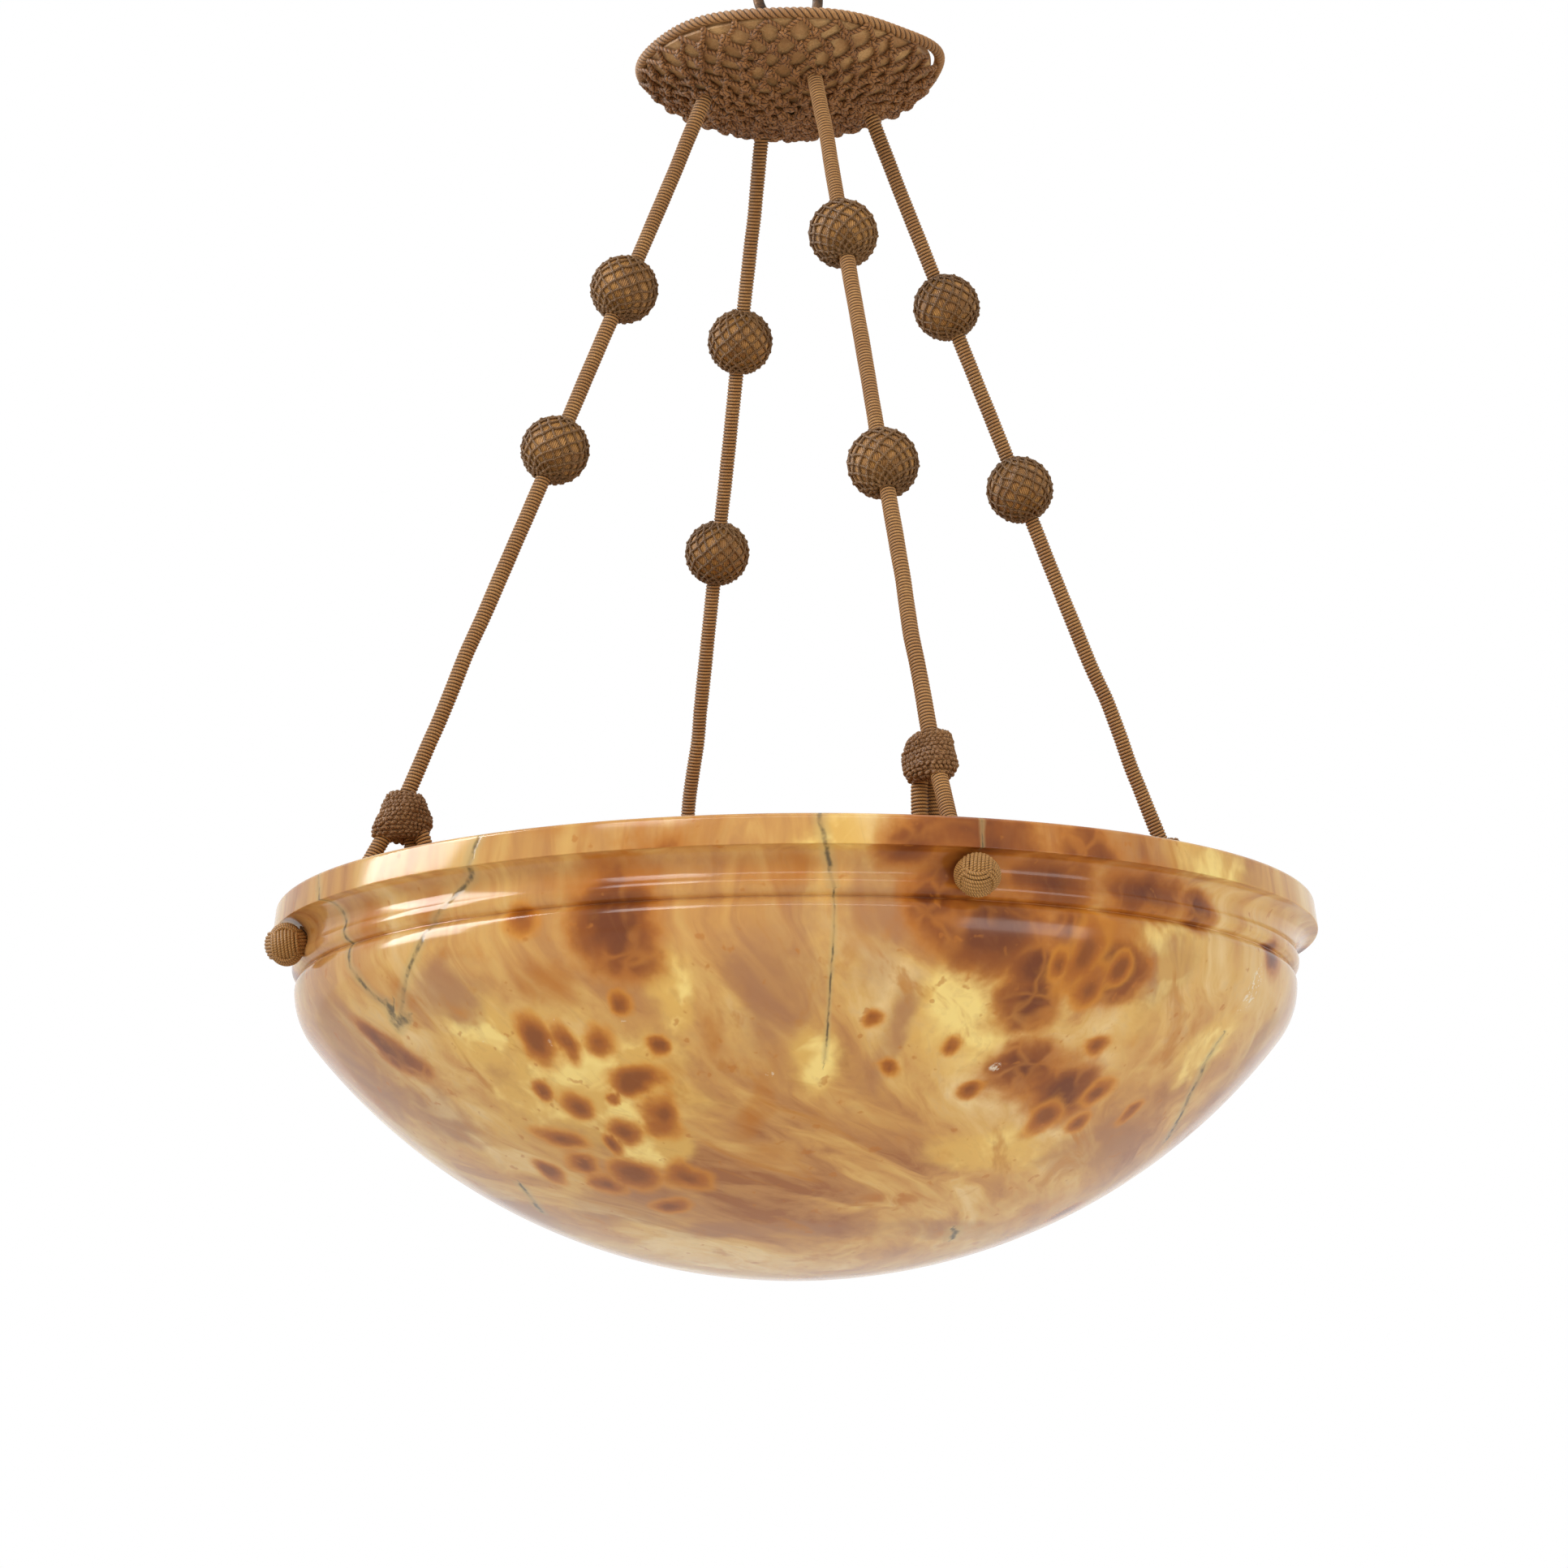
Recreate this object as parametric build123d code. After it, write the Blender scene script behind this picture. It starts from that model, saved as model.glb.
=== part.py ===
from build123d import *
import os
from math import acos, atan2, cos, degrees, hypot, pi, radians, sin, sqrt, tan

# Alabaster bowl pendant on four silk-wound ropes with netted balls and a netted canopy.
# Millimetres, +Z up. The origin is the point where a ceiling hook carries the hanging ring,
# at the top of the ring's clear eye. The ropes leave along -Y, -X, +Y and +X.

# ---------------------------------------------------------------- driving dimensions
RUNNING_FIT = 0.06            # radial clearance of a piece that slides on another
HANGING_GAP = 0.3             # room between pieces of different bodies

# Hanging ring and eye bolt
RING_EYE_RADIUS = 15.0
RING_WIRE_RADIUS = 3.0
EYE_RADIUS = 8.0
EYE_WIRE_RADIUS = 3.5
BOLT_RADIUS = 4.0
SHOULDER_RADIUS = 8.0
SHOULDER_HEIGHT = 3.0
WASHER_RADIUS = 10.0
WASHER_THICKNESS = 1.6
NUT_ACROSS_FLATS = 13.0
NUT_HEIGHT = 6.5

# Canopy: a turned dish, open above, under a knotted net
CANOPY_RADIUS = 81.0
CANOPY_TOP = 55.0             # depth of the canopy's top face below the hook point
CANOPY_EDGE_HEIGHT = 7.0
CANOPY_DOME_DEPTH = 25.0
CANOPY_EDGE_WIDTH = 19.0
RECESS_DEPTH = 16.0
RECESS_CORNER_RADIUS = 5.0
NUT_POCKET_RADIUS = 11.0
NUT_POCKET_DEPTH = 9.0
RIM_CORD_RADIUS = 3.1
RIM_CORD_BITE = 0.9           # how far the rim cord lies in the dish's edge
NET_THICKNESS = 3.0

# Ropes, as the lines that their centres follow
ROPE_RADIUS = 4.3
CABLE_RADIUS = 2.5            # the cable inside each rope
CABLE_TAIL = 5.0
ROPE_HOLE_CIRCLE = 44.5       # where the ropes leave the floor of the canopy's recess
ROPE_HOLE_CLEARANCE = 0.2
STOP_KNOT_RADIUS = 7.5
STOP_KNOT_FLAT = 1.0
COLLAR_INSET = 59.0           # from the bowl's radius in to the rope's line at the collar's middle
COLLAR_ABOVE_RIM = 43.0

# Netted balls: heights of the two balls of each rope above the bowl's rim
BALL_RADIUS = 17.3
BALL_NET_THICKNESS = 1.6
BALL_NET_MOUTH = 5.4
BALL_HEIGHTS = {
    "front": (359.0, 213.0),
    "left": (348.0, 252.0),
    "back": (356.0, 241.0),
    "right": (356.0, 252.0),
}

# Crocheted collars, toggle legs and woven knobs
COLLAR_SHIFT = 4.0            # the collar sits this far inside the rope's line
COLLAR_RADIUS = 12.8
COLLAR_END_RADIUS = 11.0
COLLAR_HEIGHT = 23.0
COLLAR_ROUND = 3.0
LEG_RADIUS = 4.3
LEG_BEND_RADIUS = 43.0
LEG_BEND_INSET = 6.5          # the bend's corner, before the bowl's inner wall on the hole's axis
LEG_END_IN_KNOB = 3.0
KNOB_RADIUS = 11.5
KNOB_INSET = 0.5              # of the knob's centre from the bowl's radius
KNOB_BELOW_RIM = 28.5
HOLE_ANGLE = 30.0             # of the cord holes below the level
HOLE_CLEARANCE = 0.9

# Bowl, from its rim down: fascia, cove, bead, quirk, lip, shoulder and dish
BOWL_BELOW_HOOK = 547.0       # depth of the rim's top below the hook point
BOWL_RADIUS = 280.0
BOWL_DEPTH = 196.0
FASCIA_HEIGHT = 15.5
FASCIA_FLARE = 1.5
SOFFIT_STEP = 2.0
RIM_ROUND = 2.5
COVE_RADIUS = 10.0
BEAD_RADIUS = 6.0
BEAD_INSET = 9.0              # from the bowl's radius in to the bead at its widest
QUIRK_INSET = 13.5            # from the bowl's radius in to the groove under the bead
QUIRK_HEIGHT = 0.4
LIP_RADIUS = 7.0
BODY_INSET = 10.5             # from the bowl's radius in to the body at its widest
SHOULDER_RADIUS_OF_BODY = 42.0
RIM_WIDTH = 17.5
WALL_THICKNESS = 12.0
INNER_TAPER = 14.0
INNER_CORNER_RADIUS = 30.0

# Lamps inside the bowl
LAMP_INSET = 7.5              # from the collar's middle in to the lamp's axis
LAMP_CORD_OFFSETS = ((2.5, -4.5), (-2.5, 4.0))   # outward and sideways from the lamp's axis
LAMP_CORD_GAP = 0.9           # below the collar, so that the cords can swing
LAMP_CORD_RADIUS = 4.3
LAMP_CORD_LENGTH = 20.0
HOLDER_RADIUS = 12.5
HOLDER_HEIGHT = 38.0
HOLDER_TOP_ROUND = 4.0
HOLDER_LIP_RADIUS = 14.0
HOLDER_LIP_HEIGHT = 4.0
HOLDER_WAIST_DEPTH = 0.8
SOCKET_DEPTH = 24.0
CAP_RADIUS = 6.95
CAP_HEIGHT = 22.0
CAP_TAPER_HEIGHT = 4.0
CONTACT_RADIUS = 2.6
GLOBE_RADIUS = 14.0
BULB_NECK_RADIUS = 6.6
BULB_GLASS_LENGTH = 40.0

# ---------------------------------------------------------------- places worked out from them
SIDES = {"front": -90.0, "left": 180.0, "back": 90.0, "right": 0.0}

ring_centre_z = -RING_EYE_RADIUS
ring_bar_top_z = -2 * RING_EYE_RADIUS
eye_centre_z = ring_bar_top_z + HANGING_GAP - EYE_RADIUS
canopy_top_z = -CANOPY_TOP
canopy_edge_foot_z = canopy_top_z - CANOPY_EDGE_HEIGHT
canopy_floor_z = canopy_top_z - RECESS_DEPTH
canopy_bottom_z = canopy_edge_foot_z - CANOPY_DOME_DEPTH
canopy_dome_radius = (CANOPY_RADIUS ** 2 + CANOPY_DOME_DEPTH ** 2) / (2 * CANOPY_DOME_DEPTH)
canopy_dome_centre_z = canopy_bottom_z + canopy_dome_radius
rim_cord_z = canopy_top_z - CANOPY_EDGE_HEIGHT / 2
rim_cord_circle = CANOPY_RADIUS + RIM_CORD_RADIUS - RIM_CORD_BITE

recess_radius = CANOPY_RADIUS - CANOPY_EDGE_WIDTH

rim_z = -BOWL_BELOW_HOOK
rope_foot_circle = BOWL_RADIUS - COLLAR_INSET
collar_circle = rope_foot_circle - COLLAR_SHIFT
collar_z = rim_z + COLLAR_ABOVE_RIM
collar_bottom_z = collar_z - COLLAR_HEIGHT / 2
lamp_circle = collar_circle - LAMP_INSET
rope_slope = (rope_foot_circle - ROPE_HOLE_CIRCLE) / (canopy_floor_z - collar_z)

# Outside of the bowl, from the fascia down: each moulding starts where the last one ends.
# The cove and the bead are circles that touch.
fascia_foot = BOWL_RADIUS + FASCIA_FLARE
fascia_foot_z = rim_z - FASCIA_HEIGHT
cove_circle = fascia_foot - SOFFIT_STEP
cove_z = fascia_foot_z - COVE_RADIUS
bead_circle = BOWL_RADIUS - BEAD_INSET - BEAD_RADIUS
bead_z = cove_z - sqrt((COVE_RADIUS + BEAD_RADIUS) ** 2 - (cove_circle - bead_circle) ** 2)
cyma_turn = degrees(atan2(cove_z - bead_z, cove_circle - bead_circle))
quirk_radius = BOWL_RADIUS - QUIRK_INSET
bead_turn = degrees(acos((quirk_radius - bead_circle) / BEAD_RADIUS))
quirk_z = bead_z - BEAD_RADIUS * sin(radians(bead_turn))
body_radius = BOWL_RADIUS - BODY_INSET
lip_circle = body_radius - LIP_RADIUS
lip_turn = degrees(acos((quirk_radius - lip_circle) / LIP_RADIUS))
shoulder_circle = body_radius - SHOULDER_RADIUS_OF_BODY
shoulder_z = quirk_z - QUIRK_HEIGHT - LIP_RADIUS * sin(radians(lip_turn))

# The dish is the sphere that touches the shoulder and ends at the bowl's depth.
shoulder_height = shoulder_z - (rim_z - BOWL_DEPTH)
dish_radius = (shoulder_circle ** 2 + shoulder_height ** 2 - SHOULDER_RADIUS_OF_BODY ** 2) / (
    2 * (shoulder_height - SHOULDER_RADIUS_OF_BODY))
dish_centre_z = rim_z - BOWL_DEPTH + dish_radius

# Where a cord hole's axis meets the inner wall, measured outwards from the knob's centre.
knob_circle = BOWL_RADIUS - KNOB_INSET
knob_z = rim_z - KNOB_BELOW_RIM
inner_rim = BOWL_RADIUS - RIM_WIDTH
wall_lean = tan(radians(INNER_TAPER))
wall_reach = (inner_rim - (KNOB_BELOW_RIM - RIM_ROUND) * wall_lean - knob_circle) / (
    cos(radians(HOLE_ANGLE)) + sin(radians(HOLE_ANGLE)) * wall_lean)


def on_hole_axis(reach: float) -> tuple[float, float]:
    """Radius and height of a point on a cord hole's axis, from the knob's centre outwards."""
    return (knob_circle + reach * cos(radians(HOLE_ANGLE)), knob_z - reach * sin(radians(HOLE_ANGLE)))


def on_rope(height: float) -> tuple[float, float, float]:
    """Point of the right rope's centre line at a height, before it is turned to its side."""
    return (rope_foot_circle + (collar_z - height) * rope_slope, 0.0, height)


def to_side(shape: Part, side: str) -> Part:
    """Turn a shape that was built for the right side to its own side."""
    return Rot(0, 0, SIDES[side]) * shape


def turned(*edges: Edge) -> Part:
    """Turn a closed half profile, drawn as radius and height, about the Z axis."""
    return revolve(Plane.XZ * Face(Wire(edges)), Axis.Z)


def turned_points(*points: tuple[float, float]) -> Part:
    """Turn a half profile with straight sides about the Z axis."""
    return revolve(Plane.XZ * make_face(Polyline(*points, close=True)), Axis.Z)


def rod_along_rope(radius: float, low_z: float, high_z: float) -> Part:
    """Round rod on the right rope's centre line between two heights."""
    low = Vector(on_rope(low_z))
    high = Vector(on_rope(high_z))
    return Plane(low, z_dir=high - low) * Cylinder(
        radius, (high - low).length, align=(Align.CENTER, Align.CENTER, Align.MIN))


# ---------------------------------------------------------------- hanging ring and eye bolt
def make_hanging_ring() -> Part:
    """Round wire ring that stands in the XZ plane."""
    ring = Plane.XZ * Torus(RING_EYE_RADIUS + RING_WIRE_RADIUS, RING_WIRE_RADIUS)
    return Pos(0, 0, ring_centre_z) * ring


def make_eye_bolt() -> Part:
    """Eye across the ring, with a shoulder on the dish's floor and a shank through it."""
    eye = Pos(0, 0, eye_centre_z) * (Plane.YZ * Torus(EYE_RADIUS + EYE_WIRE_RADIUS, EYE_WIRE_RADIUS))
    shank_top_z = eye_centre_z - EYE_RADIUS - EYE_WIRE_RADIUS
    shank_end_z = canopy_bottom_z + (NUT_POCKET_DEPTH - WASHER_THICKNESS - NUT_HEIGHT) / 2
    shank = Pos(0, 0, shank_end_z) * Cylinder(
        BOLT_RADIUS, shank_top_z - shank_end_z, align=(Align.CENTER, Align.CENTER, Align.MIN))
    shoulder = Pos(0, 0, canopy_floor_z) * Cylinder(
        SHOULDER_RADIUS, SHOULDER_HEIGHT, align=(Align.CENTER, Align.CENTER, Align.MIN))
    return eye + shank + shoulder


def make_washer() -> Part:
    """Flat washer against the pocket's ceiling."""
    top_z = canopy_bottom_z + NUT_POCKET_DEPTH
    plate = Cylinder(WASHER_RADIUS, WASHER_THICKNESS) - Cylinder(BOLT_RADIUS, WASHER_THICKNESS)
    return Pos(0, 0, top_z - WASHER_THICKNESS / 2) * plate


def make_nut() -> Part:
    """Hexagon nut under the washer."""
    middle_z = canopy_bottom_z + NUT_POCKET_DEPTH - WASHER_THICKNESS - NUT_HEIGHT / 2
    hexagon = RegularPolygon(NUT_ACROSS_FLATS / 2, 6, major_radius=False)
    blank = Pos(0, 0, -NUT_HEIGHT / 2) * extrude(hexagon, NUT_HEIGHT)
    return Pos(0, 0, middle_z) * (blank - Cylinder(BOLT_RADIUS, NUT_HEIGHT))


# ---------------------------------------------------------------- canopy
def canopy_skin(offset: float, low_radius: float) -> Part:
    """Solid dome of the dish's underside, grown outwards by an offset, up to its edge."""
    dome = Pos(0, 0, canopy_dome_centre_z) * Sphere(canopy_dome_radius + offset)
    column = Pos(0, 0, canopy_edge_foot_z) * Cylinder(
        low_radius, CANOPY_DOME_DEPTH + offset, align=(Align.CENTER, Align.CENTER, Align.MAX))
    return dome & column


def make_rim_cord() -> Part:
    """Thick twisted cord round the dish's edge."""
    return Pos(0, 0, rim_cord_z) * Torus(rim_cord_circle, RIM_CORD_RADIUS)


def make_canopy_dish(rim_cord: Part) -> Part:
    """Turned dish with its recess, rope holes, bolt hole and nut pocket."""
    edge_band = Pos(0, 0, canopy_top_z) * Cylinder(
        CANOPY_RADIUS, CANOPY_EDGE_HEIGHT, align=(Align.CENTER, Align.CENTER, Align.MAX))
    recess = Pos(0, 0, canopy_top_z) * Cylinder(
        recess_radius, RECESS_DEPTH, align=(Align.CENTER, Align.CENTER, Align.MAX))
    recess = fillet(recess.edges().group_by(Axis.Z)[0], RECESS_CORNER_RADIUS)
    dish = edge_band + canopy_skin(0, CANOPY_RADIUS) - recess - rim_cord
    dish -= Pos(0, 0, canopy_bottom_z) * Cylinder(
        NUT_POCKET_RADIUS, NUT_POCKET_DEPTH, align=(Align.CENTER, Align.CENTER, Align.MIN))
    dish -= Pos(0, 0, canopy_floor_z) * Cylinder(BOLT_RADIUS, 2 * RECESS_DEPTH)
    for side in SIDES:
        hole = rod_along_rope(ROPE_RADIUS + ROPE_HOLE_CLEARANCE, canopy_bottom_z, canopy_top_z)
        dish -= to_side(hole, side)
    return dish


def make_canopy_net(rim_cord: Part) -> Part:
    """Knotted net stretched over the dish's underside, as a skin with the ropes' holes."""
    net = canopy_skin(NET_THICKNESS, CANOPY_RADIUS) - canopy_skin(0, CANOPY_RADIUS) - rim_cord
    for side in SIDES:
        hole = rod_along_rope(
            ROPE_RADIUS + ROPE_HOLE_CLEARANCE, canopy_bottom_z - 3 * NET_THICKNESS, canopy_top_z)
        net -= to_side(hole, side)
    return net


def make_stop_knot() -> Part:
    """Knot on the recess's floor that stops the right rope."""
    centre = on_rope(canopy_floor_z + STOP_KNOT_RADIUS - STOP_KNOT_FLAT)
    below_floor = Pos(0, 0, canopy_floor_z) * Cylinder(
        recess_radius, STOP_KNOT_RADIUS, align=(Align.CENTER, Align.CENTER, Align.MAX))
    bore = rod_along_rope(ROPE_RADIUS, canopy_bottom_z, canopy_top_z)
    return Pos(*centre) * Sphere(STOP_KNOT_RADIUS) - below_floor - bore


# ---------------------------------------------------------------- ropes and balls
rope_end_z = collar_z + COLLAR_HEIGHT / 8
rope_head_z = canopy_floor_z + 2 * (STOP_KNOT_RADIUS - STOP_KNOT_FLAT)


def make_cable() -> Part:
    """Cable inside the right rope, with its tail standing out of the stop knot."""
    return rod_along_rope(CABLE_RADIUS, rope_end_z, rope_head_z + CABLE_TAIL)


def make_rope() -> Part:
    """Silk-wound rope of the right side, round its cable."""
    return rod_along_rope(ROPE_RADIUS, rope_end_z, rope_head_z) - make_cable()


def ball_frame(height_above_rim: float) -> Plane:
    """Plane across the right rope at a ball's centre."""
    centre = Vector(on_rope(rim_z + height_above_rim))
    return Plane(centre, z_dir=Vector(on_rope(canopy_floor_z)) - centre)


def make_ball(height_above_rim: float) -> Part:
    """Wrapped wooden ball, bored to run on the rope."""
    bore = Cylinder(ROPE_RADIUS + RUNNING_FIT, 3 * BALL_RADIUS)
    return ball_frame(height_above_rim) * (Sphere(BALL_RADIUS) - bore)


def make_ball_net(height_above_rim: float) -> Part:
    """Fine knotted net round a ball, open at both mouths."""
    mouths = Cylinder(BALL_NET_MOUTH, 3 * BALL_RADIUS)
    shell = Sphere(BALL_RADIUS + BALL_NET_THICKNESS) - Sphere(BALL_RADIUS)
    return ball_frame(height_above_rim) * (shell - mouths)


# ---------------------------------------------------------------- bowl
def make_bowl_blank() -> Part:
    """Turned alabaster bowl with its mouldings and dished body, hollowed from above."""
    body_turn = degrees(atan2(shoulder_z - dish_centre_z, shoulder_circle))
    inner_dish_radius = dish_radius - WALL_THICKNESS

    dish = CenterArc((0, dish_centre_z), dish_radius, -90, 90 + body_turn)
    shoulder = CenterArc((shoulder_circle, shoulder_z), SHOULDER_RADIUS_OF_BODY, body_turn, -body_turn)
    lip = CenterArc((lip_circle, shoulder_z), LIP_RADIUS, 0, lip_turn)
    bead = CenterArc((bead_circle, bead_z), BEAD_RADIUS, -bead_turn, bead_turn + cyma_turn)
    quirk = Line(lip @ 1, bead @ 0)
    cove = CenterArc((cove_circle, cove_z), COVE_RADIUS, 180 + cyma_turn, -90 - cyma_turn)
    soffit = Line(cove @ 1, (fascia_foot, fascia_foot_z))
    outer_round = CenterArc((BOWL_RADIUS - RIM_ROUND, rim_z - RIM_ROUND), RIM_ROUND, 0, 90)
    fascia = Line((fascia_foot, fascia_foot_z), outer_round @ 0)
    inner_round = CenterArc((inner_rim + RIM_ROUND, rim_z - RIM_ROUND), RIM_ROUND, 90, 90)
    rim_top = Line(outer_round @ 1, inner_round @ 0)

    # The inner wall leans in until it meets the hollow's dish.
    wall_start = inner_round @ 1
    lean = Vector(-sin(radians(INNER_TAPER)), -cos(radians(INNER_TAPER)))
    from_centre = wall_start - Vector(0, dish_centre_z)
    along = -from_centre.dot(lean) + sqrt(
        from_centre.dot(lean) ** 2 + inner_dish_radius ** 2 - from_centre.dot(from_centre))
    wall_end = wall_start + lean * along
    wall = Line(wall_start, wall_end)
    hollow_start = degrees(atan2(wall_end.Y - dish_centre_z, wall_end.X))
    hollow = CenterArc((0, dish_centre_z), inner_dish_radius, hollow_start, -90 - hollow_start)
    axis = Line(hollow @ 1, dish @ 0)

    blank = turned(dish, shoulder, lip, quirk, bead, cove, soffit, fascia, outer_round, rim_top,
                   inner_round, wall, hollow, axis)
    corner = blank.edges().filter_by(GeomType.CIRCLE).sort_by(
        lambda edge: abs(edge.radius - wall_end.X) + abs(edge.arc_center.Z - wall_end.Y))[0]
    return fillet(corner, INNER_CORNER_RADIUS)


def make_cord_hole() -> Part:
    """Drill along the axis of the right side's cord hole."""
    start_r, start_z = on_hole_axis(wall_reach - KNOB_RADIUS)
    end_r, end_z = on_hole_axis(0)
    start = Vector(start_r, 0, start_z)
    along = Vector(end_r, 0, end_z) - start
    return Plane(start, z_dir=along) * Cylinder(
        LEG_RADIUS + HOLE_CLEARANCE, along.length, align=(Align.CENTER, Align.CENTER, Align.MIN))


def make_bowl(blank: Part) -> Part:
    """Bowl with its four cord holes."""
    bowl = blank
    for side in SIDES:
        bowl = bowl - to_side(make_cord_hole(), side)
    return bowl


# ---------------------------------------------------------------- collars, toggle legs, knobs
def make_toggle_leg() -> Part:
    """Leg of the right rope, from the collar through the bowl's hole into the knob."""
    corner_r, corner_z = on_hole_axis(wall_reach - LEG_BEND_INSET)
    end_r, end_z = on_hole_axis(LEG_END_IN_KNOB)
    start = on_rope(rope_end_z)
    path = FilletPolyline(start, (corner_r, 0, corner_z), (end_r, 0, end_z), radius=LEG_BEND_RADIUS)
    leg = sweep(Plane(path @ 0, z_dir=path % 0) * Circle(LEG_RADIUS), path)
    plain_volume = pi * LEG_RADIUS ** 2 * path.length
    print("toggle leg: bend radius", LEG_BEND_RADIUS, "volume / plain volume", round(leg.volume / plain_volume, 4))
    return leg - rod_along_rope(ROPE_RADIUS, rope_end_z, canopy_floor_z)


def make_collar(leg: Part) -> Part:
    """Crocheted collar round the place where the right rope divides."""
    half = COLLAR_HEIGHT / 2
    side_arc = ThreePointArc((COLLAR_END_RADIUS, -half), (COLLAR_RADIUS, 0), (COLLAR_END_RADIUS, half))
    barrel = turned(Line((0, -half), (COLLAR_END_RADIUS, -half)), side_arc,
                    Line((COLLAR_END_RADIUS, half), (0, half)), Line((0, half), (0, -half)))
    rims = barrel.edges().filter_by(GeomType.CIRCLE).filter_by(
        lambda edge: abs(edge.radius - COLLAR_END_RADIUS) < RUNNING_FIT)
    barrel = Pos(collar_circle, 0, collar_z) * fillet(rims, COLLAR_ROUND)
    return barrel - rod_along_rope(ROPE_RADIUS, rope_end_z, canopy_floor_z) - leg


def make_knob(leg: Part, blank: Part) -> Part:
    """Woven knob that stops the leg, pressed into the cove and against the bead."""
    return Pos(knob_circle, 0, knob_z) * Sphere(KNOB_RADIUS) - blank - leg


# ---------------------------------------------------------------- lamps
cord_top_z = collar_bottom_z - LAMP_CORD_GAP
holder_top_z = cord_top_z - LAMP_CORD_LENGTH
holder_bottom_z = holder_top_z - HOLDER_HEIGHT
glass_top_z = holder_bottom_z - HANGING_GAP


def make_lamp_cords() -> Part:
    """The two cords that carry the right lamp, round at the top where they swing."""
    cords = Part()
    for outward, sideways in LAMP_CORD_OFFSETS:
        straight = cord_top_z - LAMP_CORD_RADIUS - holder_top_z
        cord = Cylinder(LAMP_CORD_RADIUS, straight, align=(Align.CENTER, Align.CENTER, Align.MIN))
        cord += Pos(0, 0, straight) * Sphere(LAMP_CORD_RADIUS)
        cords += Pos(lamp_circle + outward, sideways, holder_top_z) * cord
    return cords


def make_lampholder() -> Part:
    """Small screw lampholder with a rounded crown, a waist and a lip, open below."""
    lip_top = HOLDER_LIP_HEIGHT
    socket_radius = CAP_RADIUS + RUNNING_FIT
    socket_top = SOCKET_DEPTH
    crown_z = HOLDER_HEIGHT - HOLDER_TOP_ROUND
    outline = [
        Line((socket_radius, 0), (HOLDER_LIP_RADIUS, 0)),
        Line((HOLDER_LIP_RADIUS, 0), (HOLDER_LIP_RADIUS, lip_top)),
        Line((HOLDER_LIP_RADIUS, lip_top), (HOLDER_RADIUS - HOLDER_WAIST_DEPTH, 2 * lip_top)),
        Line((HOLDER_RADIUS - HOLDER_WAIST_DEPTH, 2 * lip_top), (HOLDER_RADIUS, crown_z)),
        CenterArc((HOLDER_RADIUS - HOLDER_TOP_ROUND, crown_z), HOLDER_TOP_ROUND, 0, 90),
        Line((HOLDER_RADIUS - HOLDER_TOP_ROUND, HOLDER_HEIGHT), (0, HOLDER_HEIGHT)),
        Line((0, HOLDER_HEIGHT), (0, socket_top)),
        Line((0, socket_top), (socket_radius, socket_top)),
        Line((socket_radius, socket_top), (socket_radius, 0)),
    ]
    return Pos(lamp_circle, 0, holder_bottom_z) * turned(*outline)


def make_bulb_cap() -> Part:
    """Metal screw cap of the bulb, in the socket."""
    neck_z = CAP_HEIGHT - CAP_TAPER_HEIGHT
    cap = turned_points((0, 0), (CAP_RADIUS, 0), (CAP_RADIUS, neck_z),
                        (CONTACT_RADIUS, CAP_HEIGHT), (0, CAP_HEIGHT))
    return Pos(lamp_circle, 0, glass_top_z) * cap


def make_bulb_glass() -> Part:
    """Pear-shaped glass: a straight neck cone tangent to the round globe."""
    globe_z = -BULB_GLASS_LENGTH + GLOBE_RADIUS
    reach = hypot(BULB_NECK_RADIUS, globe_z)
    tangent = degrees(atan2(-globe_z, BULB_NECK_RADIUS) - acos(GLOBE_RADIUS / reach))
    globe = CenterArc((0, globe_z), GLOBE_RADIUS, -90, 90 + tangent)
    glass = turned(globe, Line(globe @ 1, (BULB_NECK_RADIUS, 0)), Line((BULB_NECK_RADIUS, 0), (0, 0)),
                   Line((0, 0), globe @ 0))
    return Pos(lamp_circle, 0, glass_top_z) * glass


# ---------------------------------------------------------------- assembly
def build_parts() -> dict[str, Part]:
    """All sub-parts by name, each in its place."""
    rim_cord = make_rim_cord()
    blank = make_bowl_blank()
    leg = make_toggle_leg()
    parts = {
        "hanging_ring": make_hanging_ring(),
        "eye_bolt": make_eye_bolt(),
        "eye_bolt_washer": make_washer(),
        "eye_bolt_nut": make_nut(),
        "canopy_dish": make_canopy_dish(rim_cord),
        "canopy_net": make_canopy_net(rim_cord),
        "canopy_rim_cord": rim_cord,
        "rope_stop_knots": Compound([to_side(make_stop_knot(), side) for side in SIDES]),
        "supply_cables": Compound([to_side(make_cable(), side) for side in SIDES]),
        "bowl": make_bowl(blank),
    }
    for side in SIDES:
        pieces = {
            "rope": make_rope(),
            "collar": make_collar(leg),
            "toggle_leg": leg,
            "knob": make_knob(leg, blank),
            "lamp_cords": make_lamp_cords(),
            "lampholder": make_lampholder(),
            "bulb_cap": make_bulb_cap(),
            "bulb_glass": make_bulb_glass(),
        }
        for place, height in zip(("upper", "lower"), BALL_HEIGHTS[side]):
            pieces[place + "_ball"] = make_ball(height)
            pieces[place + "_ball_net"] = make_ball_net(height)
        for name, piece in pieces.items():
            parts[side + "_" + name] = to_side(piece, side)
    return parts


os.makedirs("parts", exist_ok=True)
for node, shape in build_parts().items():
    export_step(shape, "parts/" + node + ".step")
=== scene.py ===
"""Alabaster bowl pendant on wound ropes: the visible pieces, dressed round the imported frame."""

import logging
import math
from dataclasses import dataclass, field
from enum import Enum
from typing import Callable

import bpy
import numpy as np
from mathutils import Matrix, Vector


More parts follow.
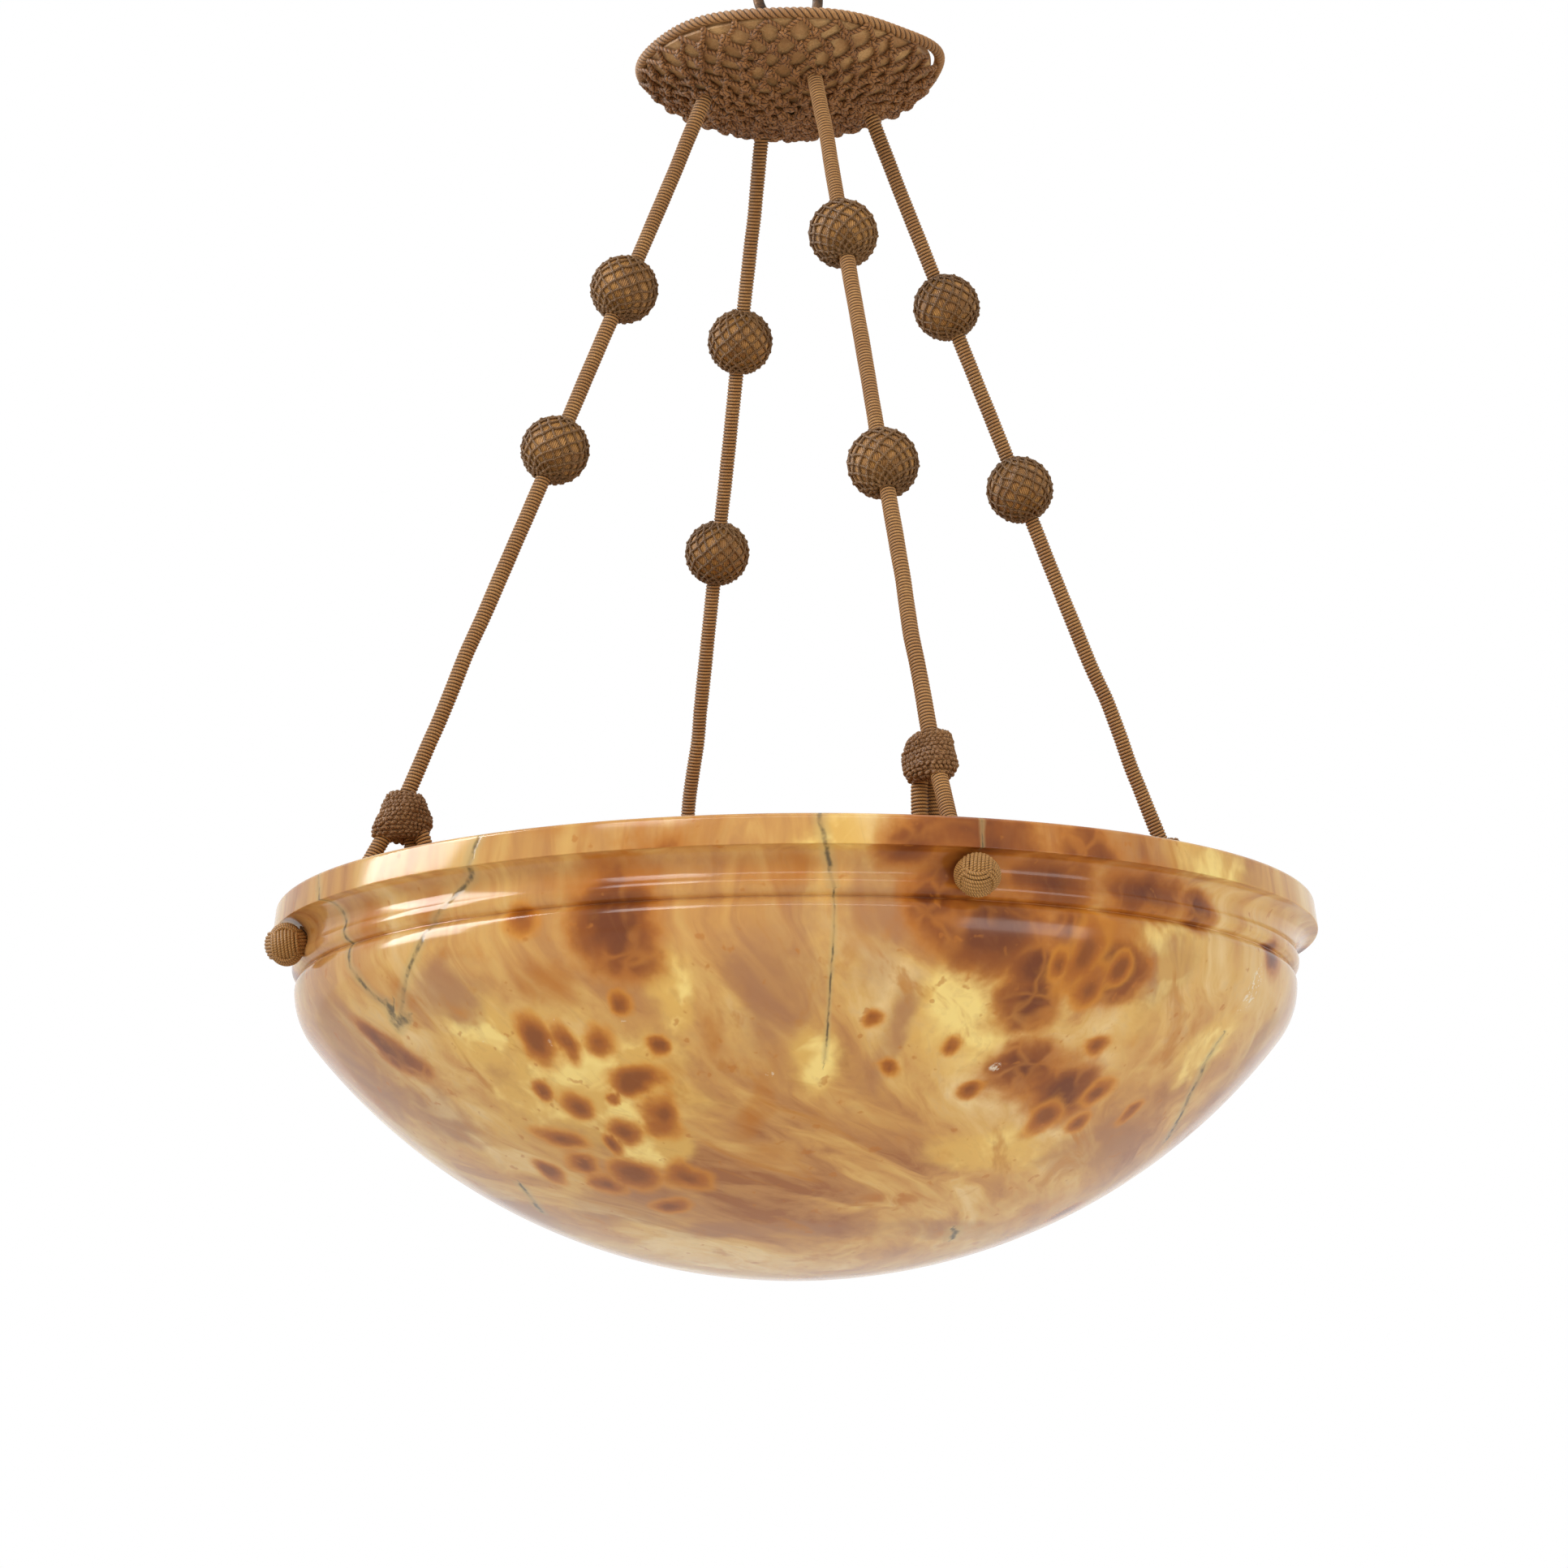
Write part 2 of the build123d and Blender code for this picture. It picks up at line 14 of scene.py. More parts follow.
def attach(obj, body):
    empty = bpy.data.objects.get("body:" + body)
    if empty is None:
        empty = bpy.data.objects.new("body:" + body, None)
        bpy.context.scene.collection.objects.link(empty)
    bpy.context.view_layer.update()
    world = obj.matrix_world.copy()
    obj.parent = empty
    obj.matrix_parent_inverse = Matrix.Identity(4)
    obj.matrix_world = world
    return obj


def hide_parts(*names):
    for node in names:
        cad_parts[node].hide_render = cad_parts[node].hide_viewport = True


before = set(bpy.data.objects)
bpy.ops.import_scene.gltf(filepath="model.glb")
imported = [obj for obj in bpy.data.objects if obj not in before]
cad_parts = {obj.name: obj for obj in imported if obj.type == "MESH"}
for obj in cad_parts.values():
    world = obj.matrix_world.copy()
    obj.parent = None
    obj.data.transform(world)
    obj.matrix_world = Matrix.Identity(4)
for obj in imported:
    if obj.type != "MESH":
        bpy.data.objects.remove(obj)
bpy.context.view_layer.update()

MM = 0.001
TURN = 2 * math.pi
RadiusRule = Callable[[np.ndarray, np.ndarray], np.ndarray]

log = logging.getLogger("bowl_pendant")


class Side(Enum):
    """The four ropes, with the direction in which each one leans out."""

    FRONT = -90.0
    LEFT = 180.0
    BACK = 90.0
    RIGHT = 0.0

    @property
    def word(self) -> str:
        """Name that the side's nodes start with."""
        return self.name.lower()

    @property
    def seed(self) -> int:
        """Whole number that keeps the sides' random draws apart."""
        return list(Side).index(self) + 1


def linear(red: int, green: int, blue: int) -> tuple[float, float, float, float]:
    """Colour as it is written for a screen, turned to linear values.

    Args:
        red: Red from 0 to 255.
        green: Green from 0 to 255.
        blue: Blue from 0 to 255.

    Returns:
        Linear red, green, blue and a full alpha.
    """
    parts = np.array([red, green, blue]) / 255.0
    low = parts / 12.92
    high = ((parts + 0.055) / 1.055) ** 2.4
    return (*np.where(parts <= 0.04045, low, high).tolist(), 1.0)


def unit(vectors: np.ndarray) -> np.ndarray:
    """Vectors divided by their own lengths."""
    return vectors / np.maximum(np.linalg.norm(vectors, axis=-1, keepdims=True), 1e-9)


def about_z(points: np.ndarray, degrees: float) -> np.ndarray:
    """Points turned about the Z axis.

    Args:
        points: Any array whose last axis is x, y, z.
        degrees: The turn, counterclockwise from above.

    Returns:
        The turned points.
    """
    turn = math.radians(degrees)
    matrix = np.array([[math.cos(turn), -math.sin(turn), 0], [math.sin(turn), math.cos(turn), 0], [0, 0, 1]])
    return points @ matrix.T


# ------------------------------------------------------------------ surfaces as arrays
@dataclass
class Surface:
    """Points in millimetres with four- and three-cornered faces and a UV at each corner."""

    points: np.ndarray
    quads: np.ndarray
    quad_uvs: np.ndarray
    tris: np.ndarray
    tri_uvs: np.ndarray

    @staticmethod
    def joined(parts: list["Surface"]) -> "Surface":
        """One surface made of several, kept apart from each other.

        Args:
            parts: The surfaces.

        Returns:
            A surface that holds them all.
        """
        starts = np.cumsum([0] + [len(part.points) for part in parts[:-1]])
        return Surface(
            np.concatenate([part.points for part in parts]),
            np.concatenate([part.quads + start for part, start in zip(parts, starts)]),
            np.concatenate([part.quad_uvs for part in parts]),
            np.concatenate([part.tris + start for part, start in zip(parts, starts)]),
            np.concatenate([part.tri_uvs for part in parts]),
        )

    def moved(self, rule: Callable[[np.ndarray], np.ndarray]) -> "Surface":
        """The same faces with their points passed through a rule."""
        return Surface(rule(self.points), self.quads, self.quad_uvs, self.tris, self.tri_uvs)

    def to_object(self, name: str, material: bpy.types.Material, sharp: float = 0.0) -> bpy.types.Object:
        """Smooth-shaded object of this surface, at the origin and in metres.

        Args:
            name: The piece's name.
            material: Its material.
            sharp: Edges that turn by more than this many degrees stay sharp; 0 keeps all soft.

        Returns:
            The linked object.
        """
        mesh = bpy.data.meshes.new(name)
        mesh.vertices.add(len(self.points))
        mesh.vertices.foreach_set("co", (self.points * MM).astype(np.float32).ravel())
        corners = np.concatenate([self.quads.ravel(), self.tris.ravel()]).astype(np.int32)
        mesh.loops.add(len(corners))
        mesh.loops.foreach_set("vertex_index", corners)
        totals = np.concatenate([np.full(len(self.quads), 4), np.full(len(self.tris), 3)])
        mesh.polygons.add(len(totals))
        mesh.polygons.foreach_set("loop_start", np.concatenate([[0], np.cumsum(totals)[:-1]]).astype(np.int32))
        mesh.update(calc_edges=True)
        layer = mesh.uv_layers.new(name="UVMap")
        flat = np.concatenate([self.quad_uvs.reshape(-1, 2), self.tri_uvs.reshape(-1, 2)])
        layer.uv.foreach_set("vector", flat.astype(np.float32).ravel())
        mesh.validate()
        mesh.shade_smooth()
        if sharp:
            mesh.set_sharp_from_angle(angle=math.radians(sharp))
        mesh.materials.append(material)
        piece = bpy.data.objects.new(name, mesh)
        bpy.context.scene.collection.objects.link(piece)
        return piece


def tubes(
    paths: np.ndarray,
    outward: np.ndarray,
    sides: int,
    radius: RadiusRule,
    closed: bool = False,
    start_along: float = 0.0,
) -> Surface:
    """Tubes along many paths at once.

    A point is path(k) + r (cos a N + sin a B), where N is the outward direction made square to
    the path, B is the path's direction crossed with N, and r follows the radius rule. U is a as
    a share of a full turn and V is the length along the path in millimetres.

    Args:
        paths: Centre lines, as (tubes, points, 3).
        outward: Direction in which the angle starts, broadcast to the paths.
        sides: Points round each ring.
        radius: Rule from the angle and the length along the path to the radius.
        closed: Whether each path is a loop.
        start_along: Length at which V starts.

    Returns:
        The tubes, with closed ends.
    """
    count, steps, _ = paths.shape
    if closed:
        ahead = np.roll(paths, -1, axis=1) - np.roll(paths, 1, axis=1)
        gaps = np.linalg.norm(np.roll(paths, -1, axis=1) - paths, axis=2)
        along = np.concatenate([np.zeros((count, 1)), np.cumsum(gaps, axis=1)], axis=1)
    else:
        ahead = np.gradient(paths, axis=1)
        gaps = np.linalg.norm(np.diff(paths, axis=1), axis=2)
        along = np.concatenate([np.zeros((count, 1)), np.cumsum(gaps, axis=1)], axis=1)
    along = along + start_along
    tangent = unit(ahead)
    normal = np.broadcast_to(outward, paths.shape)
    normal = unit(normal - np.sum(normal * tangent, axis=2, keepdims=True) * tangent)
    side = np.cross(tangent, normal)
    angle = np.arange(sides) * TURN / sides
    reach = radius(angle[None, None, :], along[:, :steps, None]) * np.ones((count, steps, sides))
    across, along_side = np.cos(angle)[None, None, :, None], np.sin(angle)[None, None, :, None]
    ring = across * normal[:, :, None] + along_side * side[:, :, None]
    points = paths[:, :, None] + reach[..., None] * ring
    index = np.arange(count * steps * sides).reshape(count, steps, sides)
    nxt = np.roll(index, -1, axis=2)
    if closed:
        far, far_nxt = np.roll(index, -1, axis=1), np.roll(nxt, -1, axis=1)
        near, near_nxt = index, nxt
        low, high = along[:, :-1], along[:, 1:]
    else:
        near, near_nxt, far, far_nxt = index[:, :-1], nxt[:, :-1], index[:, 1:], nxt[:, 1:]
        low, high = along[:, :-1], along[:, 1:]
    quads = np.stack([near, near_nxt, far_nxt, far], axis=-1).reshape(-1, 4)
    turn_low = np.broadcast_to(np.arange(sides) / sides, near.shape)
    turn_high = turn_low + 1 / sides
    low = np.broadcast_to(low[..., None], near.shape)
    high = np.broadcast_to(high[..., None], near.shape)
    quad_uvs = np.stack(
        [np.stack(pair, -1) for pair in ((turn_low, low), (turn_high, low), (turn_high, high), (turn_low, high))], -2
    ).reshape(-1, 4, 2)
    if closed:
        return Surface(points.reshape(-1, 3), quads, quad_uvs, np.zeros((0, 3), int), np.zeros((0, 3, 2)))
    hubs = np.concatenate([paths[:, 0], paths[:, -1]])
    first_hub = points.size // 3
    start_hub = np.broadcast_to(first_hub + np.arange(count)[:, None], (count, sides))
    end_hub = start_hub + count
    tris = np.concatenate(
        [
            np.stack([start_hub, nxt[:, 0], index[:, 0]], -1).reshape(-1, 3),
            np.stack([end_hub, index[:, -1], nxt[:, -1]], -1).reshape(-1, 3),
        ]
    )
    shares = np.broadcast_to(np.arange(sides) / sides, (count, sides))
    ends = []
    for v_values, flip in ((along[:, 0], True), (along[:, -1], False)):
        v_array = np.broadcast_to(v_values[:, None], (count, sides))
        first, second = (shares + 1 / sides, shares) if flip else (shares, shares + 1 / sides)
        ends.append(
            np.stack([np.stack(pair, -1) for pair in ((shares, v_array), (first, v_array), (second, v_array))], -2)
        )
    tri_uvs = np.concatenate([part.reshape(-1, 3, 2) for part in ends])
    return Surface(np.concatenate([points.reshape(-1, 3), hubs]), quads, quad_uvs, tris, tri_uvs)


def lathe(rings: np.ndarray, heights: np.ndarray, steps: int, rule: Callable | None = None) -> Surface:
    """Surface turned about Z from a profile that starts and ends on the axis.

    A point is (r cos a, r sin a, z) for each profile point (r, z); the profile runs so that its
    direction crossed with the turn points inwards, which keeps the faces outwards. The two
    profile points on the axis are single points, joined by fans.

    Args:
        rings: Radii of the profile.
        heights: Heights of the profile.
        steps: Points round the axis.
        rule: Optional change of the points, given as (profile, steps, 3), the angles and the
            distances along the profile.

    Returns:
        The closed surface, with U round the axis as a share of a turn and V along the profile.
    """
    angle = np.arange(steps) * TURN / steps
    reach = np.concatenate([[0], np.cumsum(np.hypot(np.diff(rings), np.diff(heights)))])
    grid = np.stack(
        [
            rings[1:-1, None] * np.cos(angle),
            rings[1:-1, None] * np.sin(angle),
            np.broadcast_to(heights[1:-1, None], (len(rings) - 2, steps)),
        ],
        axis=-1,
    )
    if rule:
        grid = rule(grid, angle[None, :], reach[1:-1, None])
    count = len(rings) - 2
    index = np.arange(count * steps).reshape(count, steps)
    nxt = np.roll(index, -1, axis=1)
    quads = np.stack([index[:-1], nxt[:-1], nxt[1:], index[1:]], -1).reshape(-1, 4)
    share = np.broadcast_to(np.arange(steps) / steps, (count - 1, steps))
    low = np.broadcast_to(reach[1:-2, None], share.shape)
    high = np.broadcast_to(reach[2:-1, None], share.shape)
    corners = ((share, low), (share + 1 / steps, low), (share + 1 / steps, high), (share, high))
    quad_uvs = np.stack([np.stack(pair, -1) for pair in corners], -2).reshape(-1, 4, 2)
    hub = count * steps
    first = np.full(steps, hub)
    tris = np.concatenate(
        [np.stack([first, nxt[0], index[0]], -1), np.stack([first + 1, index[-1], nxt[-1]], -1)]
    )
    edge = np.arange(steps) / steps
    start, finish = np.full(steps, reach[1]), np.full(steps, reach[-2])
    tri_uvs = np.concatenate(
        [
            np.stack([np.stack(p, -1) for p in ((edge, start), (edge + 1 / steps, start), (edge, start))], -2),
            np.stack([np.stack(p, -1) for p in ((edge, finish), (edge, finish), (edge + 1 / steps, finish))], -2),
        ]
    )
    poles = np.array([[rings[0], 0, heights[0]], [rings[-1], 0, heights[-1]]], float)
    return Surface(np.concatenate([grid.reshape(-1, 3), poles]), quads, quad_uvs, tris, tri_uvs)


def lumps(
    centres: np.ndarray,
    outward: np.ndarray,
    across: np.ndarray,
    sizes: np.ndarray,
    sides: int,
    rows: int,
) -> Surface:
    """Many small rounded lumps, each a sphere stretched along its own three directions.

    Args:
        centres: Middles, as (lumps, 3).
        outward: Short direction of each lump.
        across: A direction across each lump.
        sizes: Half sizes along across, along the third direction and outward.
        sides: Points round each lump.
        rows: Rings between its two poles.

    Returns:
        All lumps as one surface.
    """
    up = unit(outward)
    first = unit(across - np.sum(across * up, axis=1, keepdims=True) * up)
    second = np.cross(up, first)
    slope = np.linspace(0, math.pi, rows + 2)[1:-1]
    angle = np.arange(sides) * TURN / sides
    ball = np.stack(
        [np.sin(slope)[:, None] * np.cos(angle), np.sin(slope)[:, None] * np.sin(angle),
         -np.cos(slope)[:, None] * np.ones(sides)], -1).reshape(-1, 3)
    ball = np.concatenate([ball, [[0, 0, -1], [0, 0, 1]]])
    scaled = ball[None] * sizes[:, None, :]
    points = centres[:, None] + (
        scaled[..., :1] * first[:, None] + scaled[..., 1:2] * second[:, None] + scaled[..., 2:] * up[:, None])
    index = np.arange(rows * sides).reshape(rows, sides)
    nxt = np.roll(index, -1, axis=1)
    quads = np.stack([index[:-1], nxt[:-1], nxt[1:], index[1:]], -1).reshape(-1, 4)
    low, high = np.full(sides, rows * sides), np.full(sides, rows * sides + 1)
    tris = np.concatenate([np.stack([low, nxt[0], index[0]], -1), np.stack([high, index[-1], nxt[-1]], -1)])
    starts = np.arange(len(centres)) * len(ball)
    uvs = np.stack([np.arctan2(ball[:, 1], ball[:, 0]) / TURN + 0.5, ball[:, 2] * 2], -1)
    all_quads = (quads[None] + starts[:, None, None]).reshape(-1, 4)
    all_tris = (tris[None] + starts[:, None, None]).reshape(-1, 3)
    return Surface(points.reshape(-1, 3), all_quads, uvs[all_quads % len(ball)], all_tris, uvs[all_tris % len(ball)])


def plain_section(radius: float) -> RadiusRule:
    """Rule for a round tube."""
    return lambda angle, along: radius + 0 * angle + 0 * along


def wound_section(radius: float, pitch: float, groove: float, lumpy: float = 0.0) -> RadiusRule:
    """Rule for a core wound closely with thread: r = R - g ((1 + cos 2 pi (s / pitch - a)) / 2)^2.

    Args:
        radius: Radius over the thread.
        pitch: Length along the rope of one winding.
        groove: Depth of the groove between windings.
        lumpy: How much the rope swells and thins along its length.

    Returns:
        The rule.
    """

    def rule(angle: np.ndarray, along: np.ndarray) -> np.ndarray:
        """Radius at an angle and a length along."""
        wave = (1 + np.cos(TURN * (along / pitch - angle / TURN))) / 2
        swell = lumpy * (np.sin(along / 9.7) + np.sin(along / 23.0 + 1.1) + 0.6 * np.sin(along / 4.1 + angle))
        return radius + swell - groove * wave**2

    return rule


def twisted_section(radius: float, strands: int, lay: float, groove: float) -> RadiusRule:
    """Rule for a laid cord: r = R (1 - g (1 - |cos(n / 2 (a - 2 pi s / lay))|)).

    Args:
        radius: Radius over the strands.
        strands: Number of strands.
        lay: Length along the cord of one full turn of a strand.
        groove: Share of the radius by which the grooves between strands are lower.

    Returns:
        The rule.
    """

    def rule(angle: np.ndarray, along: np.ndarray) -> np.ndarray:
        """Radius at an angle and a length along."""
        return radius * (1 - groove * (1 - np.abs(np.cos(strands / 2 * (angle - TURN * along / lay)))))

    return rule


def arc(centre: tuple[float, float], radius: float, start: float, end: float, count: int) -> np.ndarray:
    """Points on a circle's arc from a start angle to an end angle, in degrees."""
    turn = np.radians(np.linspace(start, end, count))
    return np.stack([centre[0] + radius * np.cos(turn), centre[1] + radius * np.sin(turn)], axis=1)


# ------------------------------------------------------------------ shader work
class Board:
    """Places and links the nodes of one node tree."""

    def __init__(self, tree: bpy.types.NodeTree) -> None:
        """Keep the tree that the nodes go into."""
        self.tree = tree

    def add(self, kind: str, inputs: dict | None = None, **settings: object) -> bpy.types.Node:
        """New node with its settings made and its inputs set or linked.

        Args:
            kind: The node's type name, without its ShaderNode start.
            inputs: Values or sockets by input name or number.
            **settings: Properties of the node.

        Returns:
            The node.
        """
        node = self.tree.nodes.new("ShaderNode" + kind)
        for key, value in settings.items():
            setattr(node, key, value)
        for key, value in (inputs or {}).items():
            if isinstance(value, bpy.types.NodeSocket):
                self.tree.links.new(value, node.inputs[key])
            else:
                node.inputs[key].default_value = value
        return node

    def maths(self, operation: str, *values: object, clamp: bool = False) -> bpy.types.NodeSocket:
        """Result of a Math node on one to three values or sockets."""
        return self.add("Math", dict(enumerate(values)), operation=operation, use_clamp=clamp).outputs[0]

    def join(self, value: bpy.types.NodeSocket, node: bpy.types.Node, name: str) -> None:
        """Link a value to a node's named input."""
        self.tree.links.new(value, node.inputs[name])

    def step(self, value: bpy.types.NodeSocket, low: float, high: float) -> bpy.types.NodeSocket:
        """Smooth rise from 0 at low to 1 at high."""
        ends = {"Value": value, "From Min": low, "From Max": high}
        node = self.add("MapRange", ends, interpolation_type="SMOOTHSTEP")
        return node.outputs[0]

    def noise(
        self,
        vector: object,
        scale: float,
        detail: float = 3.0,
        rough: float = 0.5,
        warp: float = 0.0,
    ) -> bpy.types.NodeSocket:
        """Value of a Noise node, about 0.5 in the middle."""
        values = {"Vector": vector, "Scale": scale, "Detail": detail, "Roughness": rough, "Distortion": warp}
        return self.add("TexNoise", values).outputs[0]

    def blend(self, share: object, under: object, over: object, mode: str = "MIX") -> bpy.types.NodeSocket:
        """Colour between two colours, by a share from 0 to 1."""
        node = self.add("Mix", {0: share, 6: under, 7: over}, data_type="RGBA", blend_type=mode, clamp_factor=True)
        return node.outputs[2]

    def ramp(self, value: bpy.types.NodeSocket, stops: list[tuple[float, tuple]]) -> bpy.types.NodeSocket:
        """Colour ramp through stops of place and colour."""
        node = self.add("ValToRGB", {"Fac": value})
        elements = node.color_ramp.elements
        while len(elements) < len(stops):
            elements.new(0.5)
        for element, (place, colour) in zip(elements, stops):
            element.position = place
            element.color = colour
        return node.outputs[0]

    def output(self, **values: object) -> None:
        """Send sockets to the group's outputs."""
        end = self.tree.nodes.new("NodeGroupOutput")
        for name, value in values.items():
            self.tree.links.new(value, end.inputs[name])


class Socket(Enum):
    """Kinds of group socket."""

    VALUE = "NodeSocketFloat"
    VECTOR = "NodeSocketVector"
    COLOUR = "NodeSocketColor"


def new_group(
    name: str,
    inputs: dict[str, tuple[Socket, object]],
    outputs: dict[str, Socket],
) -> tuple[bpy.types.NodeTree, Board, bpy.types.Node]:
    """Empty shader node group with named sockets.

    Args:
        name: The group's name.
        inputs: Kind and default of each input.
        outputs: Kind of each output.

    Returns:
        The group, a board to fill it with, and its input node.
    """
    tree = bpy.data.node_groups.new(name, "ShaderNodeTree")
    for key, (kind, default) in inputs.items():
        socket = tree.interface.new_socket(key, in_out="INPUT", socket_type=kind.value)
        if default is not None:
            socket.default_value = default
    for key, kind in outputs.items():
        tree.interface.new_socket(key, in_out="OUTPUT", socket_type=kind.value)
    start = tree.nodes.new("NodeGroupInput")
    return tree, Board(tree), start


def make_winding_group() -> bpy.types.NodeTree:
    """Group for thread wound round a core: gaps, plies and height from the piece's own UV.

    The place within one winding is the fraction of V / pitch - U. The mask of the gaps is 1 at both of
    its ends and marks where the finishes paint shade between the windings, and the plies are stripes along the thread.

    Returns:
        The group.
    """
    tree, board, start = new_group(
        "thread_winding",
        {"Vector": (Socket.VECTOR, None), "Pitch": (Socket.VALUE, 1.85), "Plies": (Socket.VALUE, 26.0)},
        {"Gap": Socket.VALUE, "Ply": Socket.VALUE, "Height": Socket.VALUE},
    )
    split = board.add("SeparateXYZ", {0: start.outputs["Vector"]})
    turns = board.maths("DIVIDE", split.outputs[1], start.outputs["Pitch"])
    place = board.maths("FRACT", board.maths("SUBTRACT", turns, split.outputs[0]))
    middle = board.maths("ABSOLUTE", board.maths("SUBTRACT", place, 0.5))
    # Mask of the gaps between windings; the finishes use it for painted shade and for roughness.
    gap = board.step(middle, 0.24, 0.44)
    along = board.maths("MULTIPLY_ADD", split.outputs[0], start.outputs["Plies"], place)
    wave = board.maths("SINE", board.maths("MULTIPLY", along, TURN))
    ply = board.maths("MULTIPLY_ADD", wave, 0.5, 0.5)
    crown = board.maths("SUBTRACT", 1.0, board.maths("MULTIPLY", middle, 2.0))
    height = board.maths("MULTIPLY_ADD", ply, 0.35, board.maths("SQRT", crown))
    board.output(Gap=gap, Ply=ply, Height=height)
    return tree


def make_lay_group() -> bpy.types.NodeTree:
    """Group for laid cord: groove and height of its strands and their yarns from the piece's UV.

    A strand's place is |cos(n pi (U - V / lay))|, as in the mesh, and its yarns are finer stripes
    that run the other way.

    Returns:
        The group.
    """
    tree, board, start = new_group(
        "cord_lay",
        {
            "Vector": (Socket.VECTOR, None),
            "Strands": (Socket.VALUE, 3.0),
            "Lay": (Socket.VALUE, 9.0),
            "Yarn": (Socket.VALUE, 1.2),
        },
        {"Groove": Socket.VALUE, "Yarn": Socket.VALUE, "Height": Socket.VALUE},
    )
    split = board.add("SeparateXYZ", {0: start.outputs["Vector"]})
    turns = board.maths("DIVIDE", split.outputs[1], start.outputs["Lay"])
    turned = board.maths("SUBTRACT", split.outputs[0], turns)
    strands = board.maths("MULTIPLY", start.outputs["Strands"], math.pi)
    lobe = board.maths("ABSOLUTE", board.maths("COSINE", board.maths("MULTIPLY", turned, strands)))
    groove = board.maths("SUBTRACT", 1.0, board.step(lobe, 0.05, 0.6))
    lengthwise = board.maths("DIVIDE", split.outputs[1], start.outputs["Yarn"])
    slant = board.maths("MULTIPLY_ADD", split.outputs[0], 3.0, lengthwise)
    yarn = board.maths("MULTIPLY_ADD", board.maths("SINE", board.maths("MULTIPLY", slant, TURN)), 0.5, 0.5)
    height = board.maths("MULTIPLY_ADD", yarn, 0.25, lobe)
    board.output(Groove=groove, Yarn=yarn, Height=height)
    return tree


def make_wear_group() -> bpy.types.NodeTree:
    """Group for dust and age: a soft broad mask and a fine speckle in Object coordinates."""
    tree, board, start = new_group(
        "dust_and_age",
        {"Vector": (Socket.VECTOR, None), "Scale": (Socket.VALUE, 40.0)},
        {"Broad": Socket.VALUE, "Speckle": Socket.VALUE},
    )
    broad = board.add("TexNoise", {"Vector": start.outputs["Vector"], "Scale": start.outputs["Scale"], "Detail": 3.0})
    fine_scale = board.maths("MULTIPLY", start.outputs["Scale"], 14.0)
    fine = board.add("TexNoise", {"Vector": start.outputs["Vector"], "Scale": fine_scale, "Detail": 2.0})
    board.output(Broad=board.step(broad.outputs[0], 0.35, 0.68), Speckle=board.step(fine.outputs[0], 0.4, 0.66))
    return tree


def make_flow_group() -> bpy.types.NodeTree:
    """Group for the stone's flow: broad bands, streaks and grain, each pushed aside by the one before.

    Returns:
        The group, with three values about 0.5.
    """
    tree, board, start = new_group(
        "stone_flow",
        {"Vector": (Socket.VECTOR, None)},
        {"Bands": Socket.VALUE, "Streaks": Socket.VALUE, "Grain": Socket.VALUE},
    )
    bands = board.noise(start.outputs["Vector"], 10.0, 3.0, 0.5, 0.5)
    shove = board.maths("MULTIPLY", board.maths("SUBTRACT", bands, 0.5), 0.12)
    pushed = board.add("VectorMath", {0: start.outputs["Vector"], 1: shove}, operation="ADD").outputs[0]
    streaks = board.noise(pushed, 24.0, 3.0, 0.52, 0.6)
    grain = board.noise(pushed, 130.0, 3.0, 0.6, 0.3)
    board.output(Bands=bands, Streaks=streaks, Grain=grain)
    return tree


@dataclass(frozen=True)
class Groups:
    """The shared node groups."""

    winding: bpy.types.NodeTree
    lay: bpy.types.NodeTree
    wear: bpy.types.NodeTree
    flow: bpy.types.NodeTree


def start_material(name: str) -> tuple[bpy.types.Material, Board, bpy.types.Node]:
    """New material with its tree, a board and its Principled node.

    Args:
        name: The material's name.

    Returns:
        The material, the board and the shader node.
    """
    material = bpy.data.materials.new(name)
    material.use_nodes = True
    board = Board(material.node_tree)
    shader = material.node_tree.nodes["Principled BSDF"]
    return material, board, shader


def use_group(board: Board, group: bpy.types.NodeTree, **inputs: object) -> bpy.types.Node:
    """Place a group in a tree with its inputs set or linked."""
    node = board.add("Group", node_tree=group)
    for key, value in inputs.items():
        if isinstance(value, bpy.types.NodeSocket):
            board.tree.links.new(value, node.inputs[key])
        else:
            node.inputs[key].default_value = value
    return node


